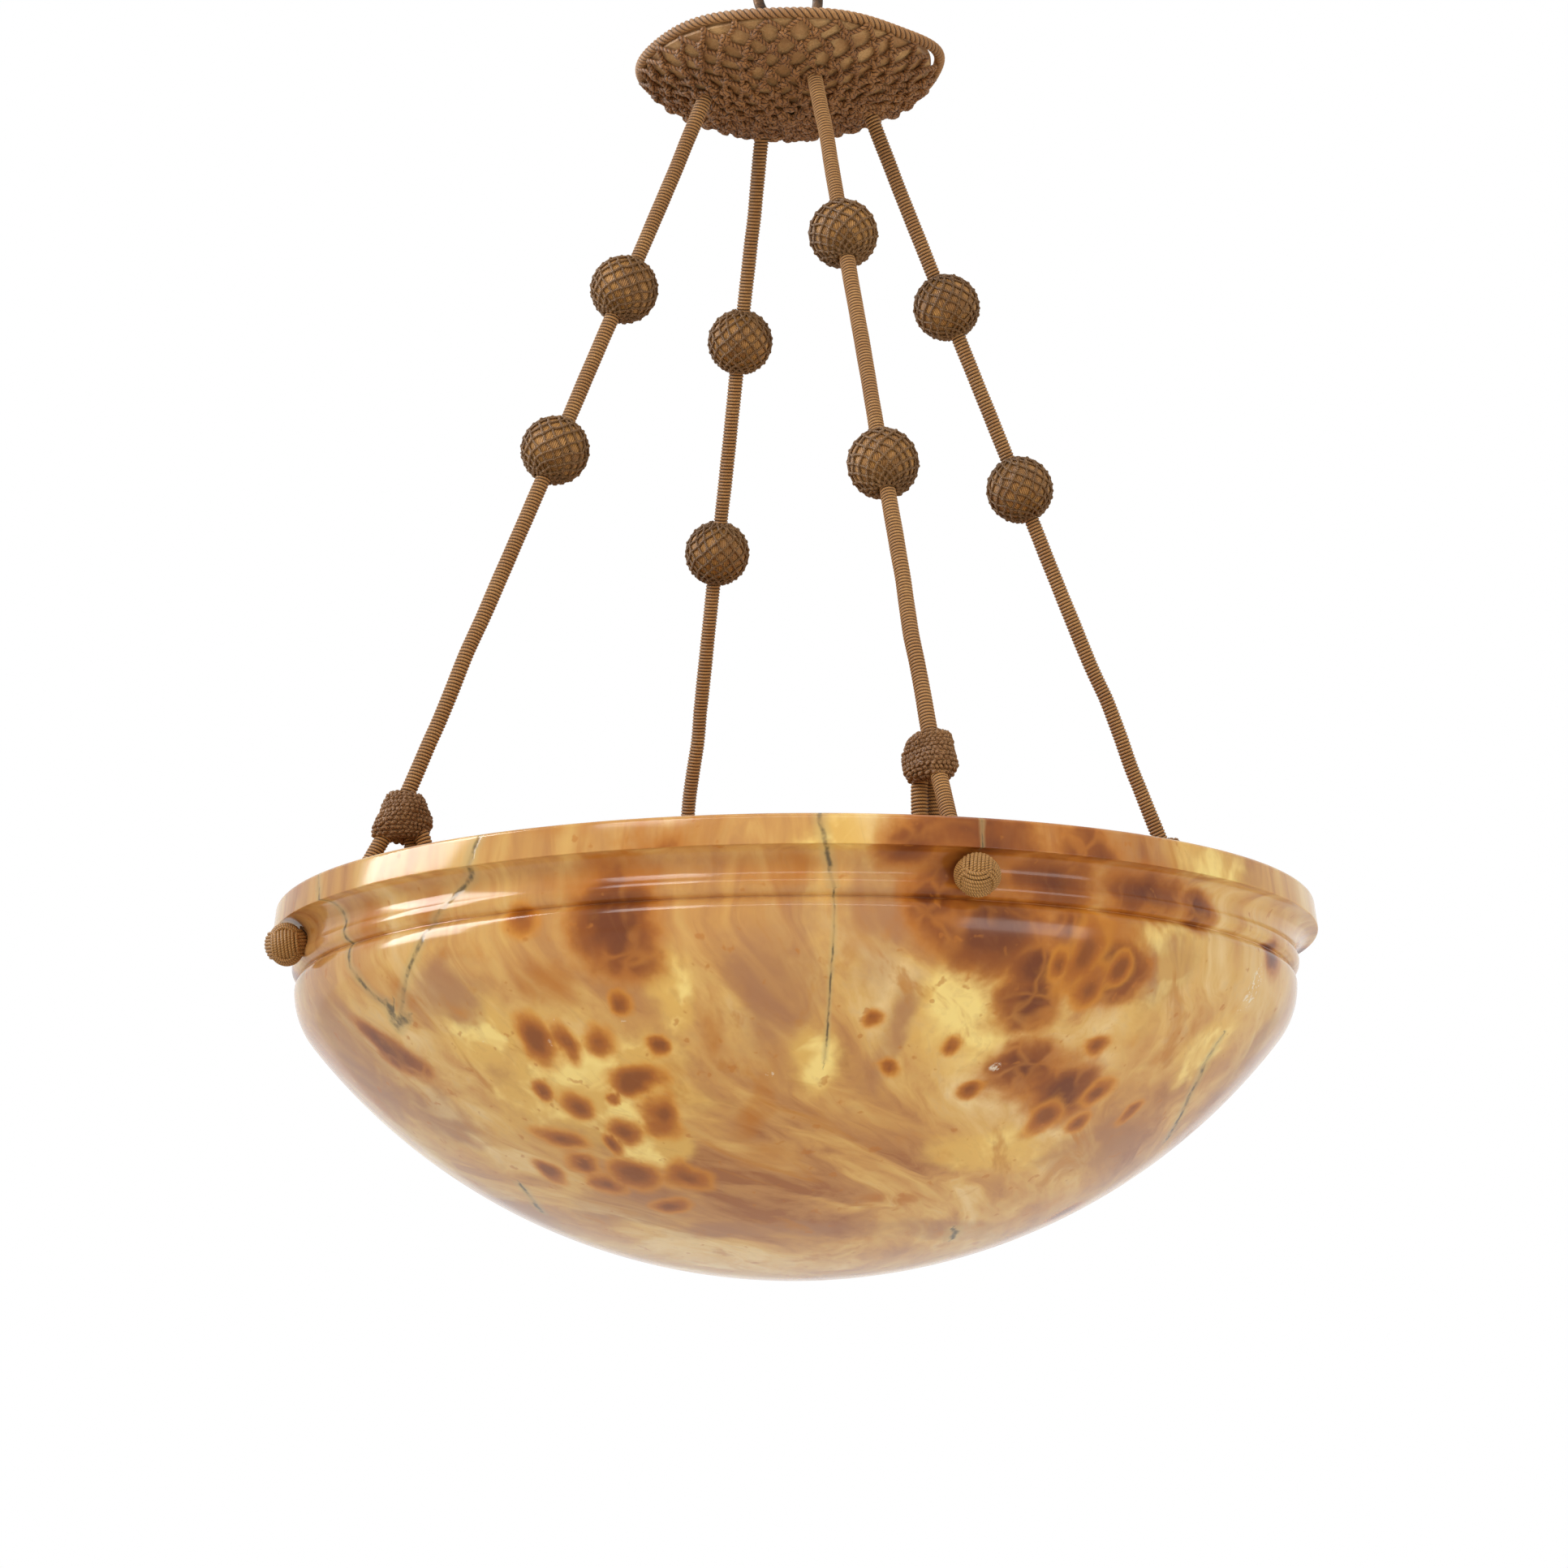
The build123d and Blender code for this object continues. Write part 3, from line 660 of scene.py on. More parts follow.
@dataclass(frozen=True)
class ThreadFinish:
    """Finish of wound thread or laid cord: its colours, with painted shade darkening the grooves between windings or
    strands, its winding and its bump.
    """

    name: str
    light: tuple
    dark: tuple
    # Colour of the painted shade in the grooves between windings or strands.
    gap: tuple
    pitch: float = 1.85
    plies: float = 26.0
    strands: float = 0.0
    lay: float = 9.0
    yarn: float = 1.2
    bump: float = 0.0004
    sheen: float = 0.25

    def build(self, groups: Groups) -> bpy.types.Material:
        """The material.

        Args:
            groups: The shared node groups.

        Returns:
            A material that is wound where strands is 0 and laid otherwise.
        """
        material, board, shader = start_material(self.name)
        place = board.add("TexCoord")
        if self.strands:
            lay = {"Strands": self.strands, "Lay": self.lay, "Yarn": self.yarn}
            form = use_group(board, groups.lay, Vector=place.outputs["UV"], **lay)
            hollow, stripe = form.outputs["Groove"], form.outputs["Yarn"]
        else:
            form = use_group(board, groups.winding, Vector=place.outputs["UV"], Pitch=self.pitch, Plies=self.plies)
            hollow, stripe = form.outputs["Gap"], form.outputs["Ply"]
        wear = use_group(board, groups.wear, Vector=place.outputs["Object"], Scale=38.0)
        body = board.blend(wear.outputs["Broad"], self.dark, self.light)
        shade = board.maths("MULTIPLY_ADD", stripe, 0.5, board.maths("MULTIPLY", wear.outputs["Speckle"], 0.5))
        body = board.blend(board.maths("MULTIPLY", shade, 0.5), self.dark, body)
        body = board.blend(board.maths("MULTIPLY", stripe, 0.35), body, self.light)
        # Painted shade: the grooves between windings or strands are darkened almost to black with the third colour.
        colour = board.blend(board.maths("MULTIPLY", hollow, 0.94), body, self.gap)
        board.join(colour, shader, "Base Color")
        rough = board.maths("MULTIPLY_ADD", hollow, 0.2, 0.55)
        board.join(rough, shader, "Roughness")
        bump = board.add("Bump", {"Height": form.outputs["Height"], "Distance": self.bump, "Strength": 0.8})
        board.join(bump.outputs[0], shader, "Normal")
        shader.inputs["Sheen Weight"].default_value = self.sheen
        shader.inputs["Sheen Roughness"].default_value = 0.4
        shader.inputs["Sheen Tint"].default_value = linear(235, 190, 130)
        shader.inputs["Specular IOR Level"].default_value = 0.35
        return material


@dataclass(frozen=True)
class YarnFinish:
    """Finish of the balls' golden yarn, laid from mouth to mouth."""

    name: str
    light: tuple
    dark: tuple
    strands: int

    def build(self, groups: Groups) -> bpy.types.Material:
        """The material, striped along U with one stripe to a strand, with painted shade in the creases between strands.
        """
        material, board, shader = start_material(self.name)
        place = board.add("TexCoord")
        split = board.add("SeparateXYZ", {0: place.outputs["UV"]})
        count = board.maths("MULTIPLY", split.outputs[0], float(self.strands))
        wave = board.maths("ABSOLUTE", board.maths("SINE", board.maths("MULTIPLY", count, math.pi)))
        cell = board.maths("FLOOR", count)
        single = board.add("TexWhiteNoise", {"W": cell}, noise_dimensions="1D").outputs["Value"]
        wear = use_group(board, groups.wear, Vector=place.outputs["Object"], Scale=70.0)
        share = board.maths("MULTIPLY_ADD", single, 0.45, board.maths("MULTIPLY", wear.outputs["Broad"], 0.55))
        colour = board.blend(share, self.dark, self.light)
        # Painted shade: the creases between strands are darkened towards a deep brown.
        crease = board.maths("SUBTRACT", 1.0, board.step(wave, 0.05, 0.55))
        colour = board.blend(board.maths("MULTIPLY", crease, 0.7), colour, linear(72, 44, 22))
        board.join(colour, shader, "Base Color")
        shader.inputs["Roughness"].default_value = 0.55
        shader.inputs["Sheen Weight"].default_value = 0.3
        shader.inputs["Sheen Tint"].default_value = linear(255, 205, 130)
        bump = board.add("Bump", {"Height": wave, "Distance": 0.0003, "Strength": 0.8})
        board.join(bump.outputs[0], shader, "Normal")
        return material


@dataclass(frozen=True)
class IronFinish:
    """Blackened iron with worn, browner places."""

    name: str = "blackened_iron"

    def build(self, groups: Groups) -> bpy.types.Material:
        """The material."""
        material, board, shader = start_material(self.name)
        place = board.add("TexCoord")
        wear = use_group(board, groups.wear, Vector=place.outputs["Object"], Scale=90.0)
        colour = board.blend(wear.outputs["Broad"], linear(46, 41, 38), linear(84, 66, 50))
        colour = board.blend(board.maths("MULTIPLY", wear.outputs["Speckle"], 0.5), colour, linear(112, 78, 50))
        board.join(colour, shader, "Base Color")
        rough = board.maths("MULTIPLY_ADD", wear.outputs["Speckle"], 0.3, 0.38)
        board.join(rough, shader, "Roughness")
        shader.inputs["Metallic"].default_value = 0.85
        bump = board.add("Bump", {"Height": wear.outputs["Speckle"], "Distance": 0.0003, "Strength": 0.4})
        board.join(bump.outputs[0], shader, "Normal")
        return material


@dataclass(frozen=True)
class PlainFinish:
    """Finish of a small hard or soft piece: two close colours, speckle and fine bump."""

    name: str
    light: tuple
    dark: tuple
    roughness: float = 0.5
    metallic: float = 0.0
    scale: float = 60.0
    bump: float = 0.0002

    def build(self, groups: Groups) -> bpy.types.Material:
        """The material."""
        material, board, shader = start_material(self.name)
        place = board.add("TexCoord")
        wear = use_group(board, groups.wear, Vector=place.outputs["Object"], Scale=self.scale)
        colour = board.blend(wear.outputs["Broad"], self.dark, self.light)
        colour = board.blend(board.maths("MULTIPLY", wear.outputs["Speckle"], 0.3), colour, self.dark)
        board.join(colour, shader, "Base Color")
        rough = board.maths("MULTIPLY_ADD", wear.outputs["Speckle"], 0.15, self.roughness)
        board.join(rough, shader, "Roughness")
        shader.inputs["Metallic"].default_value = self.metallic
        bump = board.add("Bump", {"Height": wear.outputs["Speckle"], "Distance": self.bump, "Strength": 0.5})
        board.join(bump.outputs[0], shader, "Normal")
        return material


@dataclass(frozen=True)
class ScrewCapFinish:
    """Brass cap with the rolled thread as a wave along Z."""

    name: str = "rolled_brass"

    def build(self, groups: Groups) -> bpy.types.Material:
        """The material."""
        material, board, shader = start_material(self.name)
        place = board.add("TexCoord")
        split = board.add("SeparateXYZ", {0: place.outputs["Object"]})
        wave = board.maths("SINE", board.maths("MULTIPLY", split.outputs[2], TURN / 0.0028))
        wear = use_group(board, groups.wear, Vector=place.outputs["Object"], Scale=120.0)
        colour = board.blend(wear.outputs["Broad"], linear(160, 128, 72), linear(198, 166, 104))
        board.join(colour, shader, "Base Color")
        rough = board.maths("MULTIPLY_ADD", wear.outputs["Speckle"], 0.2, 0.25)
        board.join(rough, shader, "Roughness")
        shader.inputs["Metallic"].default_value = 1.0
        bump = board.add("Bump", {"Height": wave, "Distance": 0.0006, "Strength": 0.7})
        board.join(bump.outputs[0], shader, "Normal")
        return material


@dataclass(frozen=True)
class FrostedGlassFinish:
    """Frosted bulb glass, lightly mottled."""

    name: str = "frosted_glass"

    def build(self, groups: Groups) -> bpy.types.Material:
        """The material."""
        material, board, shader = start_material(self.name)
        place = board.add("TexCoord")
        wear = use_group(board, groups.wear, Vector=place.outputs["Object"], Scale=80.0)
        colour = board.blend(wear.outputs["Broad"], linear(232, 230, 224), linear(246, 245, 240))
        board.join(colour, shader, "Base Color")
        rough = board.maths("MULTIPLY_ADD", wear.outputs["Speckle"], 0.15, 0.3)
        board.join(rough, shader, "Roughness")
        shader.inputs["Transmission Weight"].default_value = 0.45
        shader.inputs["IOR"].default_value = 1.5
        return material


class Mark(Enum):
    """Kinds of marking in the stone, named as the mesh attribute that holds each one's field."""

    SPOT = "brown_spots"
    RED = "red_brown_clouds"
    AMBER = "amber_clouds"
    YELLOW = "yellow_ground"
    MAUVE = "mauve_zones"
    VEIN = "grey_veins"
    WEB = "white_scuffs"


FLOW_PLACE = "flow_place"
VEIN_SIDE = "vein_side"


@dataclass(frozen=True)
class AlabasterFinish:
    """Polished alabaster: honey and cream flow bands, brown clouds and spots, grey-green veins."""

    name: str = "honey_alabaster"
    gloss: float = 0.13

    def build(self, groups: Groups) -> bpy.types.Material:
        """The material.

        The ground is a flow of brown-pink, honey and cream, read where each point sits in the
        flow. Each marking's field is 0 on its outline and rises inwards; noise is added to it
        before it is stepped, so that outlines are soft and uneven, and thin pale walls part the
        brown clouds into cells.

        Args:
            groups: The shared node groups.

        Returns:
            The material.
        """
        material, board, shader = start_material(self.name)
        place = board.add("TexCoord").outputs["Object"]
        stream = board.add("Attribute", attribute_name=FLOW_PLACE).outputs["Vector"]
        field = {mark: board.add("Attribute", attribute_name=mark.value).outputs["Fac"] for mark in Mark}
        side = board.add("Attribute", attribute_name=VEIN_SIDE).outputs["Fac"]
        flow = use_group(board, groups.flow, Vector=stream)
        bands, streaks, grain = flow.outputs["Bands"], flow.outputs["Streaks"], flow.outputs["Grain"]
        mixed = board.maths("MULTIPLY_ADD", streaks, 0.36, board.maths("MULTIPLY", bands, 0.52))
        mixed = board.maths("MULTIPLY_ADD", grain, 0.12, mixed)
        colour = board.ramp(
            mixed,
            [
                (0.39, linear(166, 106, 60)),
                (0.45, linear(192, 136, 80)),
                (0.50, linear(210, 156, 88)),
                (0.55, linear(224, 178, 104)),
                (0.62, linear(238, 204, 142)),
            ],
        )
        uneven = board.maths("SUBTRACT", board.noise(place, 26.0, 3.0, 0.55, 0.4), 0.5)
        ragged = board.maths("SUBTRACT", board.noise(place, 85.0, 3.0, 0.6), 0.5)

        def mask(mark: Mark, low: float, high: float, sway: float, share: float = 1.0) -> bpy.types.NodeSocket:
            """Stepped share of a marking, with its outline swayed by noise."""
            swayed = board.maths("MULTIPLY_ADD", uneven, sway, field[mark])
            swayed = board.maths("MULTIPLY_ADD", ragged, sway * 0.4, swayed)
            return board.maths("MULTIPLY", board.step(swayed, low, high), share)

        def over(under: bpy.types.NodeSocket, share: object, red: int, green: int, blue: int) -> bpy.types.NodeSocket:
            """Lay a colour over another by a share."""
            return board.blend(share, under, linear(red, green, blue))

        colour = over(colour, mask(Mark.YELLOW, -0.35, 0.5, 1.5, 0.88), 232, 186, 98)
        glow = board.step(board.noise(place, 34.0, 3.0, 0.55, 0.6), 0.45, 0.62)
        colour = over(colour, board.maths("MULTIPLY", glow, mask(Mark.YELLOW, -0.1, 0.5, 1.2, 0.92)), 254, 224, 138)
        lilac = board.maths("MULTIPLY_ADD", board.step(streaks, 0.4, 0.62), -0.5, 1.0)
        colour = over(colour, board.maths("MULTIPLY", lilac, mask(Mark.MAUVE, -0.4, 0.5, 1.6, 0.86)), 176, 124, 84)
        tawny = board.step(board.noise(stream, 24.0, 4.0, 0.6, 1.0), 0.57, 0.7)
        colour = over(colour, board.maths("MULTIPLY", tawny, 0.62), 192, 124, 48)
        patchy = board.maths("MULTIPLY_ADD", board.step(streaks, 0.38, 0.64), -0.7, 1.0)
        colour = over(colour, board.maths("MULTIPLY", patchy, mask(Mark.AMBER, -0.45, 0.7, 1.8, 0.85)), 190, 118, 42)
        pushed = board.add("VectorMath", {0: place, 1: self.push(board, place)}, operation="ADD").outputs[0]
        cells = board.add("TexVoronoi", {"Vector": pushed, "Scale": 58.0}, feature="DISTANCE_TO_EDGE")
        wall = board.maths("SUBTRACT", 1.0, board.step(cells.outputs["Distance"], 0.0, 0.22))
        wall = board.maths("MULTIPLY", wall, board.step(board.noise(place, 20.0), 0.4, 0.55))
        solid = board.maths("SUBTRACT", 1.0, board.maths("MULTIPLY", wall, 0.62))
        for mark, halo, body, deep, kept in (
            (Mark.RED, (190, 114, 38), (146, 80, 32), (112, 58, 30), solid),
            (Mark.SPOT, (214, 140, 46), (176, 102, 34), (132, 72, 30), 1.0),
        ):
            colour = over(colour, mask(mark, -0.9, -0.1, 1.4, 0.85), *halo)
            colour = over(colour, board.maths("MULTIPLY", mask(mark, -0.46, 0.2, 1.5, 0.95), kept), *body)
            colour = over(colour, board.maths("MULTIPLY", mask(mark, 0.05, 0.75, 1.7, 0.8), kept), *deep)
        colour = over(colour, board.maths("MULTIPLY", board.step(grain, 0.52, 0.7), 0.14), 166, 106, 60)
        motes = board.step(board.noise(place, 120.0, 2.0, 0.5), 0.66, 0.74)
        colour = over(colour, board.maths("MULTIPLY", motes, 0.55), 190, 116, 44)
        wander = board.maths("MULTIPLY_ADD", ragged, 2.2, board.maths("MULTIPLY_ADD", uneven, 1.6, side))
        away = board.maths("ABSOLUTE", wander)
        near = board.step(field[Mark.VEIN], 0.1, 0.5)
        pale = board.maths("MULTIPLY", board.maths("SUBTRACT", 1.0, board.step(away, 0.5, 2.8)), near)
        colour = over(colour, board.maths("MULTIPLY", pale, 0.42), 196, 172, 116)
        crack = board.maths("MULTIPLY", board.maths("SUBTRACT", 1.0, board.step(away, 0.1, 0.95)), near)
        broken = board.maths("MULTIPLY_ADD", board.step(board.noise(place, 90.0, 3.0, 0.6), 0.4, 0.6), 0.7, 0.2)
        colour = over(colour, board.maths("MULTIPLY", crack, broken), 96, 82, 58)
        scratches = board.step(board.noise(place, 260.0, 3.0, 0.7), 0.5, 0.62)
        scuff = board.maths("MULTIPLY", mask(Mark.WEB, 0.0, 0.5, 2.0), scratches)
        colour = over(colour, board.maths("MULTIPLY", scuff, 0.8), 240, 228, 204)
        board.join(colour, shader, "Base Color")
        dull = board.maths("MULTIPLY_ADD", board.step(board.noise(place, 45.0, 4.0, 0.6), 0.55, 0.75), 0.1, self.gloss)
        dull = board.maths("MULTIPLY_ADD", scuff, 0.35, dull)
        board.join(dull, shader, "Roughness")
        waves = board.maths("MULTIPLY_ADD", scuff, -0.4, board.noise(place, 11.0, 2.0, 0.5))
        waves = board.maths("MULTIPLY_ADD", crack, -0.5, waves)
        bump = board.add("Bump", {"Height": waves, "Distance": 0.0005, "Strength": 0.3})
        board.join(bump.outputs[0], shader, "Normal")
        shader.inputs["IOR"].default_value = 1.5
        shader.inputs["Specular IOR Level"].default_value = 0.24
        shader.inputs["Subsurface Weight"].default_value = 0.15
        shader.inputs["Subsurface Radius"].default_value = (1.0, 0.5, 0.2)
        shader.inputs["Subsurface Scale"].default_value = 0.005
        return material

    def push(self, board: Board, place: bpy.types.NodeSocket) -> bpy.types.NodeSocket:
        """Small uneven push in metres that bends the walls between the brown cells."""
        drift = board.add("TexNoise", {"Vector": place, "Scale": 40.0, "Detail": 2.0}).outputs["Color"]
        centred = board.add("VectorMath", {0: drift, 1: (0.5, 0.5, 0.5)}, operation="SUBTRACT").outputs[0]
        return board.add("VectorMath", {0: centred, "Scale": 0.03}, operation="SCALE").outputs[0]


# ------------------------------------------------------------------ the bowl
@dataclass(frozen=True)
class Cloud:
    """One rounded marking: its centre's azimuth and depth below the rim, its half sizes across
    and down the surface, and how far it is turned."""

    azimuth: float
    depth: float
    across: float
    down: float
    turn: float = 0.0


@dataclass(frozen=True)
class Thread:
    """One thin marking: azimuth and depth of the points it runs through, and its half width."""

    points: tuple[tuple[float, float], ...]
    width: float


@dataclass
class AlabasterBowl:
    """The turned bowl: fascia, cove, bead, quirk, lip, shoulder and dished body, and its markings."""

    rim_z: float = -547.0
    radius: float = 280.0
    depth: float = 196.0
    fascia_height: float = 15.5
    fascia_flare: float = 1.5
    soffit: float = 2.0
    rim_round: float = 2.5
    arris_round: float = 0.5
    cove: float = 10.0
    bead: float = 6.0
    bead_inset: float = 9.0
    quirk_inset: float = 13.5
    quirk_height: float = 0.4
    lip: float = 7.0
    body_inset: float = 10.5
    shoulder: float = 42.0
    rim_width: float = 17.5
    wall: float = 12.0
    inner_taper: float = 14.0
    hole_radius: float = 5.2
    hole_angle: float = 30.0
    knob_circle: float = 279.5
    knob_below_rim: float = 28.5
    steps: int = 520
    clouds: dict[Mark, tuple[Cloud, ...]] = field(default_factory=dict)
    threads: tuple[Thread, ...] = ()
    dish_radius: float = field(init=False, default=0.0)
    dish_z: float = field(init=False, default=0.0)

    def outside(self) -> np.ndarray:
        """Outer profile from the bottom up to the rim's top, as radius and height."""
        foot = self.radius + self.fascia_flare
        foot_z = self.rim_z - self.fascia_height
        cove_r, cove_z = foot - self.soffit, foot_z - self.cove
        bead_r = self.radius - self.bead_inset - self.bead
        bead_z = cove_z - math.sqrt((self.cove + self.bead) ** 2 - (cove_r - bead_r) ** 2)
        ogee = math.degrees(math.atan2(cove_z - bead_z, cove_r - bead_r))
        quirk_r = self.radius - self.quirk_inset
        bead_turn = math.degrees(math.acos((quirk_r - bead_r) / self.bead))
        quirk_z = bead_z - self.bead * math.sin(math.radians(bead_turn))
        lip_r = self.radius - self.body_inset - self.lip
        lip_turn = math.degrees(math.acos((quirk_r - lip_r) / self.lip))
        shoulder_r = self.radius - self.body_inset - self.shoulder
        shoulder_z = quirk_z - self.quirk_height - self.lip * math.sin(math.radians(lip_turn))
        height = shoulder_z - (self.rim_z - self.depth)
        self.dish_radius = (shoulder_r**2 + height**2 - self.shoulder**2) / (2 * (height - self.shoulder))
        self.dish_z = self.rim_z - self.depth + self.dish_radius
        turn = math.degrees(math.atan2(shoulder_z - self.dish_z, shoulder_r))
        return np.concatenate(
            [
                arc((0, self.dish_z), self.dish_radius, -90, turn, 84),
                arc((shoulder_r, shoulder_z), self.shoulder, turn, 0, 13)[1:],
                arc((lip_r, shoulder_z), self.lip, 0, lip_turn, 9)[1:],
                arc((bead_r, bead_z), self.bead, -bead_turn, ogee, 15),
                arc((cove_r, cove_z), self.cove, 180 + ogee, 90, 12)[1:],
                arc((foot - self.arris_round, foot_z + self.arris_round), self.arris_round, -90, 0, 5),
                arc((self.radius - self.rim_round, self.rim_z - self.rim_round), self.rim_round, 0, 90, 8),
            ]
        )

    def inside(self) -> np.ndarray:
        """Inner profile from the rim's top down to the hollow's middle, as radius and height."""
        start = np.array([self.radius - self.rim_width, self.rim_z - self.rim_round])
        hollow = self.dish_radius - self.wall
        lean = -np.array([math.sin(math.radians(self.inner_taper)), math.cos(math.radians(self.inner_taper))])
        offset = start - [0, self.dish_z]
        reach = -offset @ lean + math.sqrt((offset @ lean) ** 2 + hollow**2 - offset @ offset)
        corner = start + lean * reach
        turn = math.degrees(math.atan2(corner[1] - self.dish_z, corner[0]))
        shares = np.linspace(0, 1, 12)[1:, None]
        return np.concatenate(
            [
                arc((start[0] + self.rim_round, start[1]), self.rim_round, 90, 180, 8),
                start + (corner - start) * shares,
                arc((0, self.dish_z), hollow, turn, -90, 30)[1:],
            ]
        )

    def drills(self) -> Surface:
        """The four slanting drills of the cord holes, as one surface."""
        lean = math.radians(self.hole_angle)
        axis = np.array([math.cos(lean), 0, -math.sin(lean)])
        centre = np.array([self.knob_circle, 0, self.rim_z - self.knob_below_rim])
        ends = centre + axis * np.array([[-48.0], [6.0]])
        path = np.stack([about_z(ends, side.value) for side in Side])
        return tubes(path, np.array([0.0, 0, 1.0]), 28, plain_section(self.hole_radius))

    def surface_place(self, points: np.ndarray) -> tuple[np.ndarray, np.ndarray, np.ndarray]:
        """Azimuth in radians, length down the outer profile and radius of points on the bowl.

        Args:
            points: Points in millimetres.

        Returns:
            The three values for each point.
        """
        profile = self.outside()[::-1]
        length = np.concatenate([[0], np.cumsum(np.hypot(*np.diff(profile, axis=0).T))])
        order = np.argsort(-profile[:, 1], kind="stable")
        down = np.interp(-points[:, 2], -profile[order, 1], length[order])
        return np.arctan2(points[:, 1], points[:, 0]), down, np.hypot(points[:, 0], points[:, 1])

    def sway(self, points: np.ndarray, seed: int, size: float) -> np.ndarray:
        """Smooth uneven offset in millimetres: a sum of waves in drawn directions.

        Args:
            points: Points in millimetres.
            seed: Seed of the directions.
            size: Size of the whole.

        Returns:
            One offset for each point.
        """
        rng = np.random.default_rng(seed)
        total = np.zeros(len(points))
        for length, share in ((46.0, 0.5), (24.0, 0.32), (13.0, 0.18)):
            ways = unit(rng.normal(0, 1, (3, 3)))
            starts = rng.uniform(0, TURN, 3)
            total += share * np.sin(points @ ways.T * (TURN / length) + starts).sum(axis=1) / 1.5
        return size * total

    def flow_place(self, points: np.ndarray) -> np.ndarray:
        """Where points sit in the stone's flow, in metres.

        Each point is turned back about Z by more and more towards the bottom, and pressed
        together along Z, so that noise read there runs in long leaning streaks.

        Args:
            points: Points in millimetres.

        Returns:
            The places.
        """
        depth = self.rim_z - points[:, 2]
        turn = -np.radians(0.11 * np.maximum(depth - 50, 0) + 0.010 * np.maximum(depth - 120, 0) ** 2)
        x = points[:, 0] * np.cos(turn) - points[:, 1] * np.sin(turn)
        y = points[:, 0] * np.sin(turn) + points[:, 1] * np.cos(turn)
        return np.stack([x, y, points[:, 2] * 0.22], axis=1) * MM

    def mark_fields(self, points: np.ndarray) -> dict[str, np.ndarray]:
        """Field of each kind of marking at points on the bowl.

        A cloud's field is 1 - sqrt((u / a)^2 + (v / b)^2), with u and v the lengths round and
        down the surface from its centre, turned by its own angle and swayed a little. The
        veins' field is 1 - d / 8 mm with d the distance to the nearest vein, and their side is
        that distance as a share of the vein's half width, with its sign.

        Args:
            points: Points in millimetres.

        Returns:
            One value for each point, by the name of its attribute.
        """
        azimuth, down, radius = self.surface_place(points)
        sway_u, sway_v = self.sway(points, 1, 2.6), self.sway(points, 2, 2.6)
        fields = {mark: np.full(len(points), -1.0) for mark in Mark}
        for mark, clouds in self.clouds.items():
            probes = np.array([[1.0, 0.0, self.rim_z - cloud.depth] for cloud in clouds]).reshape(-1, 3)
            for cloud, centre in zip(clouds, self.surface_place(probes)[1]):
                swing = (azimuth - math.radians(cloud.azimuth) + math.pi) % TURN - math.pi
                u, v = radius * swing + sway_u, down - centre + sway_v
                turn = math.radians(cloud.turn)
                first = (u * math.cos(turn) + v * math.sin(turn)) / cloud.across
                second = (v * math.cos(turn) - u * math.sin(turn)) / cloud.down
                fields[mark] = np.maximum(fields[mark], 1 - np.hypot(first, second))
        nearest, side = np.full(len(points), 99.0), np.full(len(points), 9.0)
        for thread in self.threads:
            spots = np.array([[1.0, 0.0, self.rim_z - depth] for _, depth in thread.points])
            downs = self.surface_place(spots)[1]
            for (a0, _), (a1, _), d0, d1 in zip(thread.points, thread.points[1:], downs, downs[1:]):
                swing = (azimuth - math.radians(a0) + math.pi) % TURN - math.pi
                u, v = radius * swing, down - d0
                run_u, run_v = radius * math.radians(a1 - a0), d1 - d0
                share = np.clip((u * run_u + v * run_v) / np.maximum(run_u**2 + run_v**2, 1e-6), 0, 1)
                away = np.hypot(u - share * run_u, v - share * run_v)
                signed = np.where(run_u * v - run_v * u < 0, -away, away) / thread.width
                side = np.where(away < nearest, signed, side)
                nearest = np.minimum(nearest, away)
        fields[Mark.VEIN] = 1 - nearest / 8.0
        named = {mark.value: np.clip(values, -1, 1) for mark, values in fields.items()}
        named[VEIN_SIDE] = np.clip(side, -9, 9)
        return named

    def build(self, material: bpy.types.Material) -> bpy.types.Object:
        """The bowl with its holes and its markings' fields.

        Args:
            material: The stone.

        Returns:
            The bowl.
        """
        outer = self.outside()
        inner = self.inside()
        profile = np.concatenate([outer, inner])
        profile[0, 0] = profile[-1, 0] = 0.0
        bowl = lathe(profile[:, 0], profile[:, 1], self.steps).to_object("alabaster_bowl", material)
        cutter = self.drills().to_object("hole_drills", material)
        cut = bowl.modifiers.new("holes", "BOOLEAN")
        cut.object = cutter
        cut.operation = "DIFFERENCE"
        cut.solver = "EXACT"
        depsgraph = bpy.context.evaluated_depsgraph_get()
        mesh = bpy.data.meshes.new_from_object(bowl.evaluated_get(depsgraph))
        bowl.modifiers.clear()
        bowl.data = mesh
        mesh.name = "alabaster_bowl"
        drill_mesh = cutter.data
        bpy.data.objects.remove(cutter)
        bpy.data.meshes.remove(drill_mesh)
        mesh.shade_smooth()
        mesh.set_sharp_from_angle(angle=math.radians(40))
        places = np.zeros(len(mesh.vertices) * 3, np.float32)
        mesh.vertices.foreach_get("co", places)
        points = places.reshape(-1, 3) / MM
        for name, values in self.mark_fields(points).items():
            layer = mesh.attributes.new(name, "FLOAT", "POINT")
            layer.data.foreach_set("value", values.astype(np.float32))
        layer = mesh.attributes.new(FLOW_PLACE, "FLOAT_VECTOR", "POINT")
        layer.data.foreach_set("vector", self.flow_place(points).astype(np.float32).ravel())
        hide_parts("bowl")
        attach(bowl, "pendant")
        return bowl


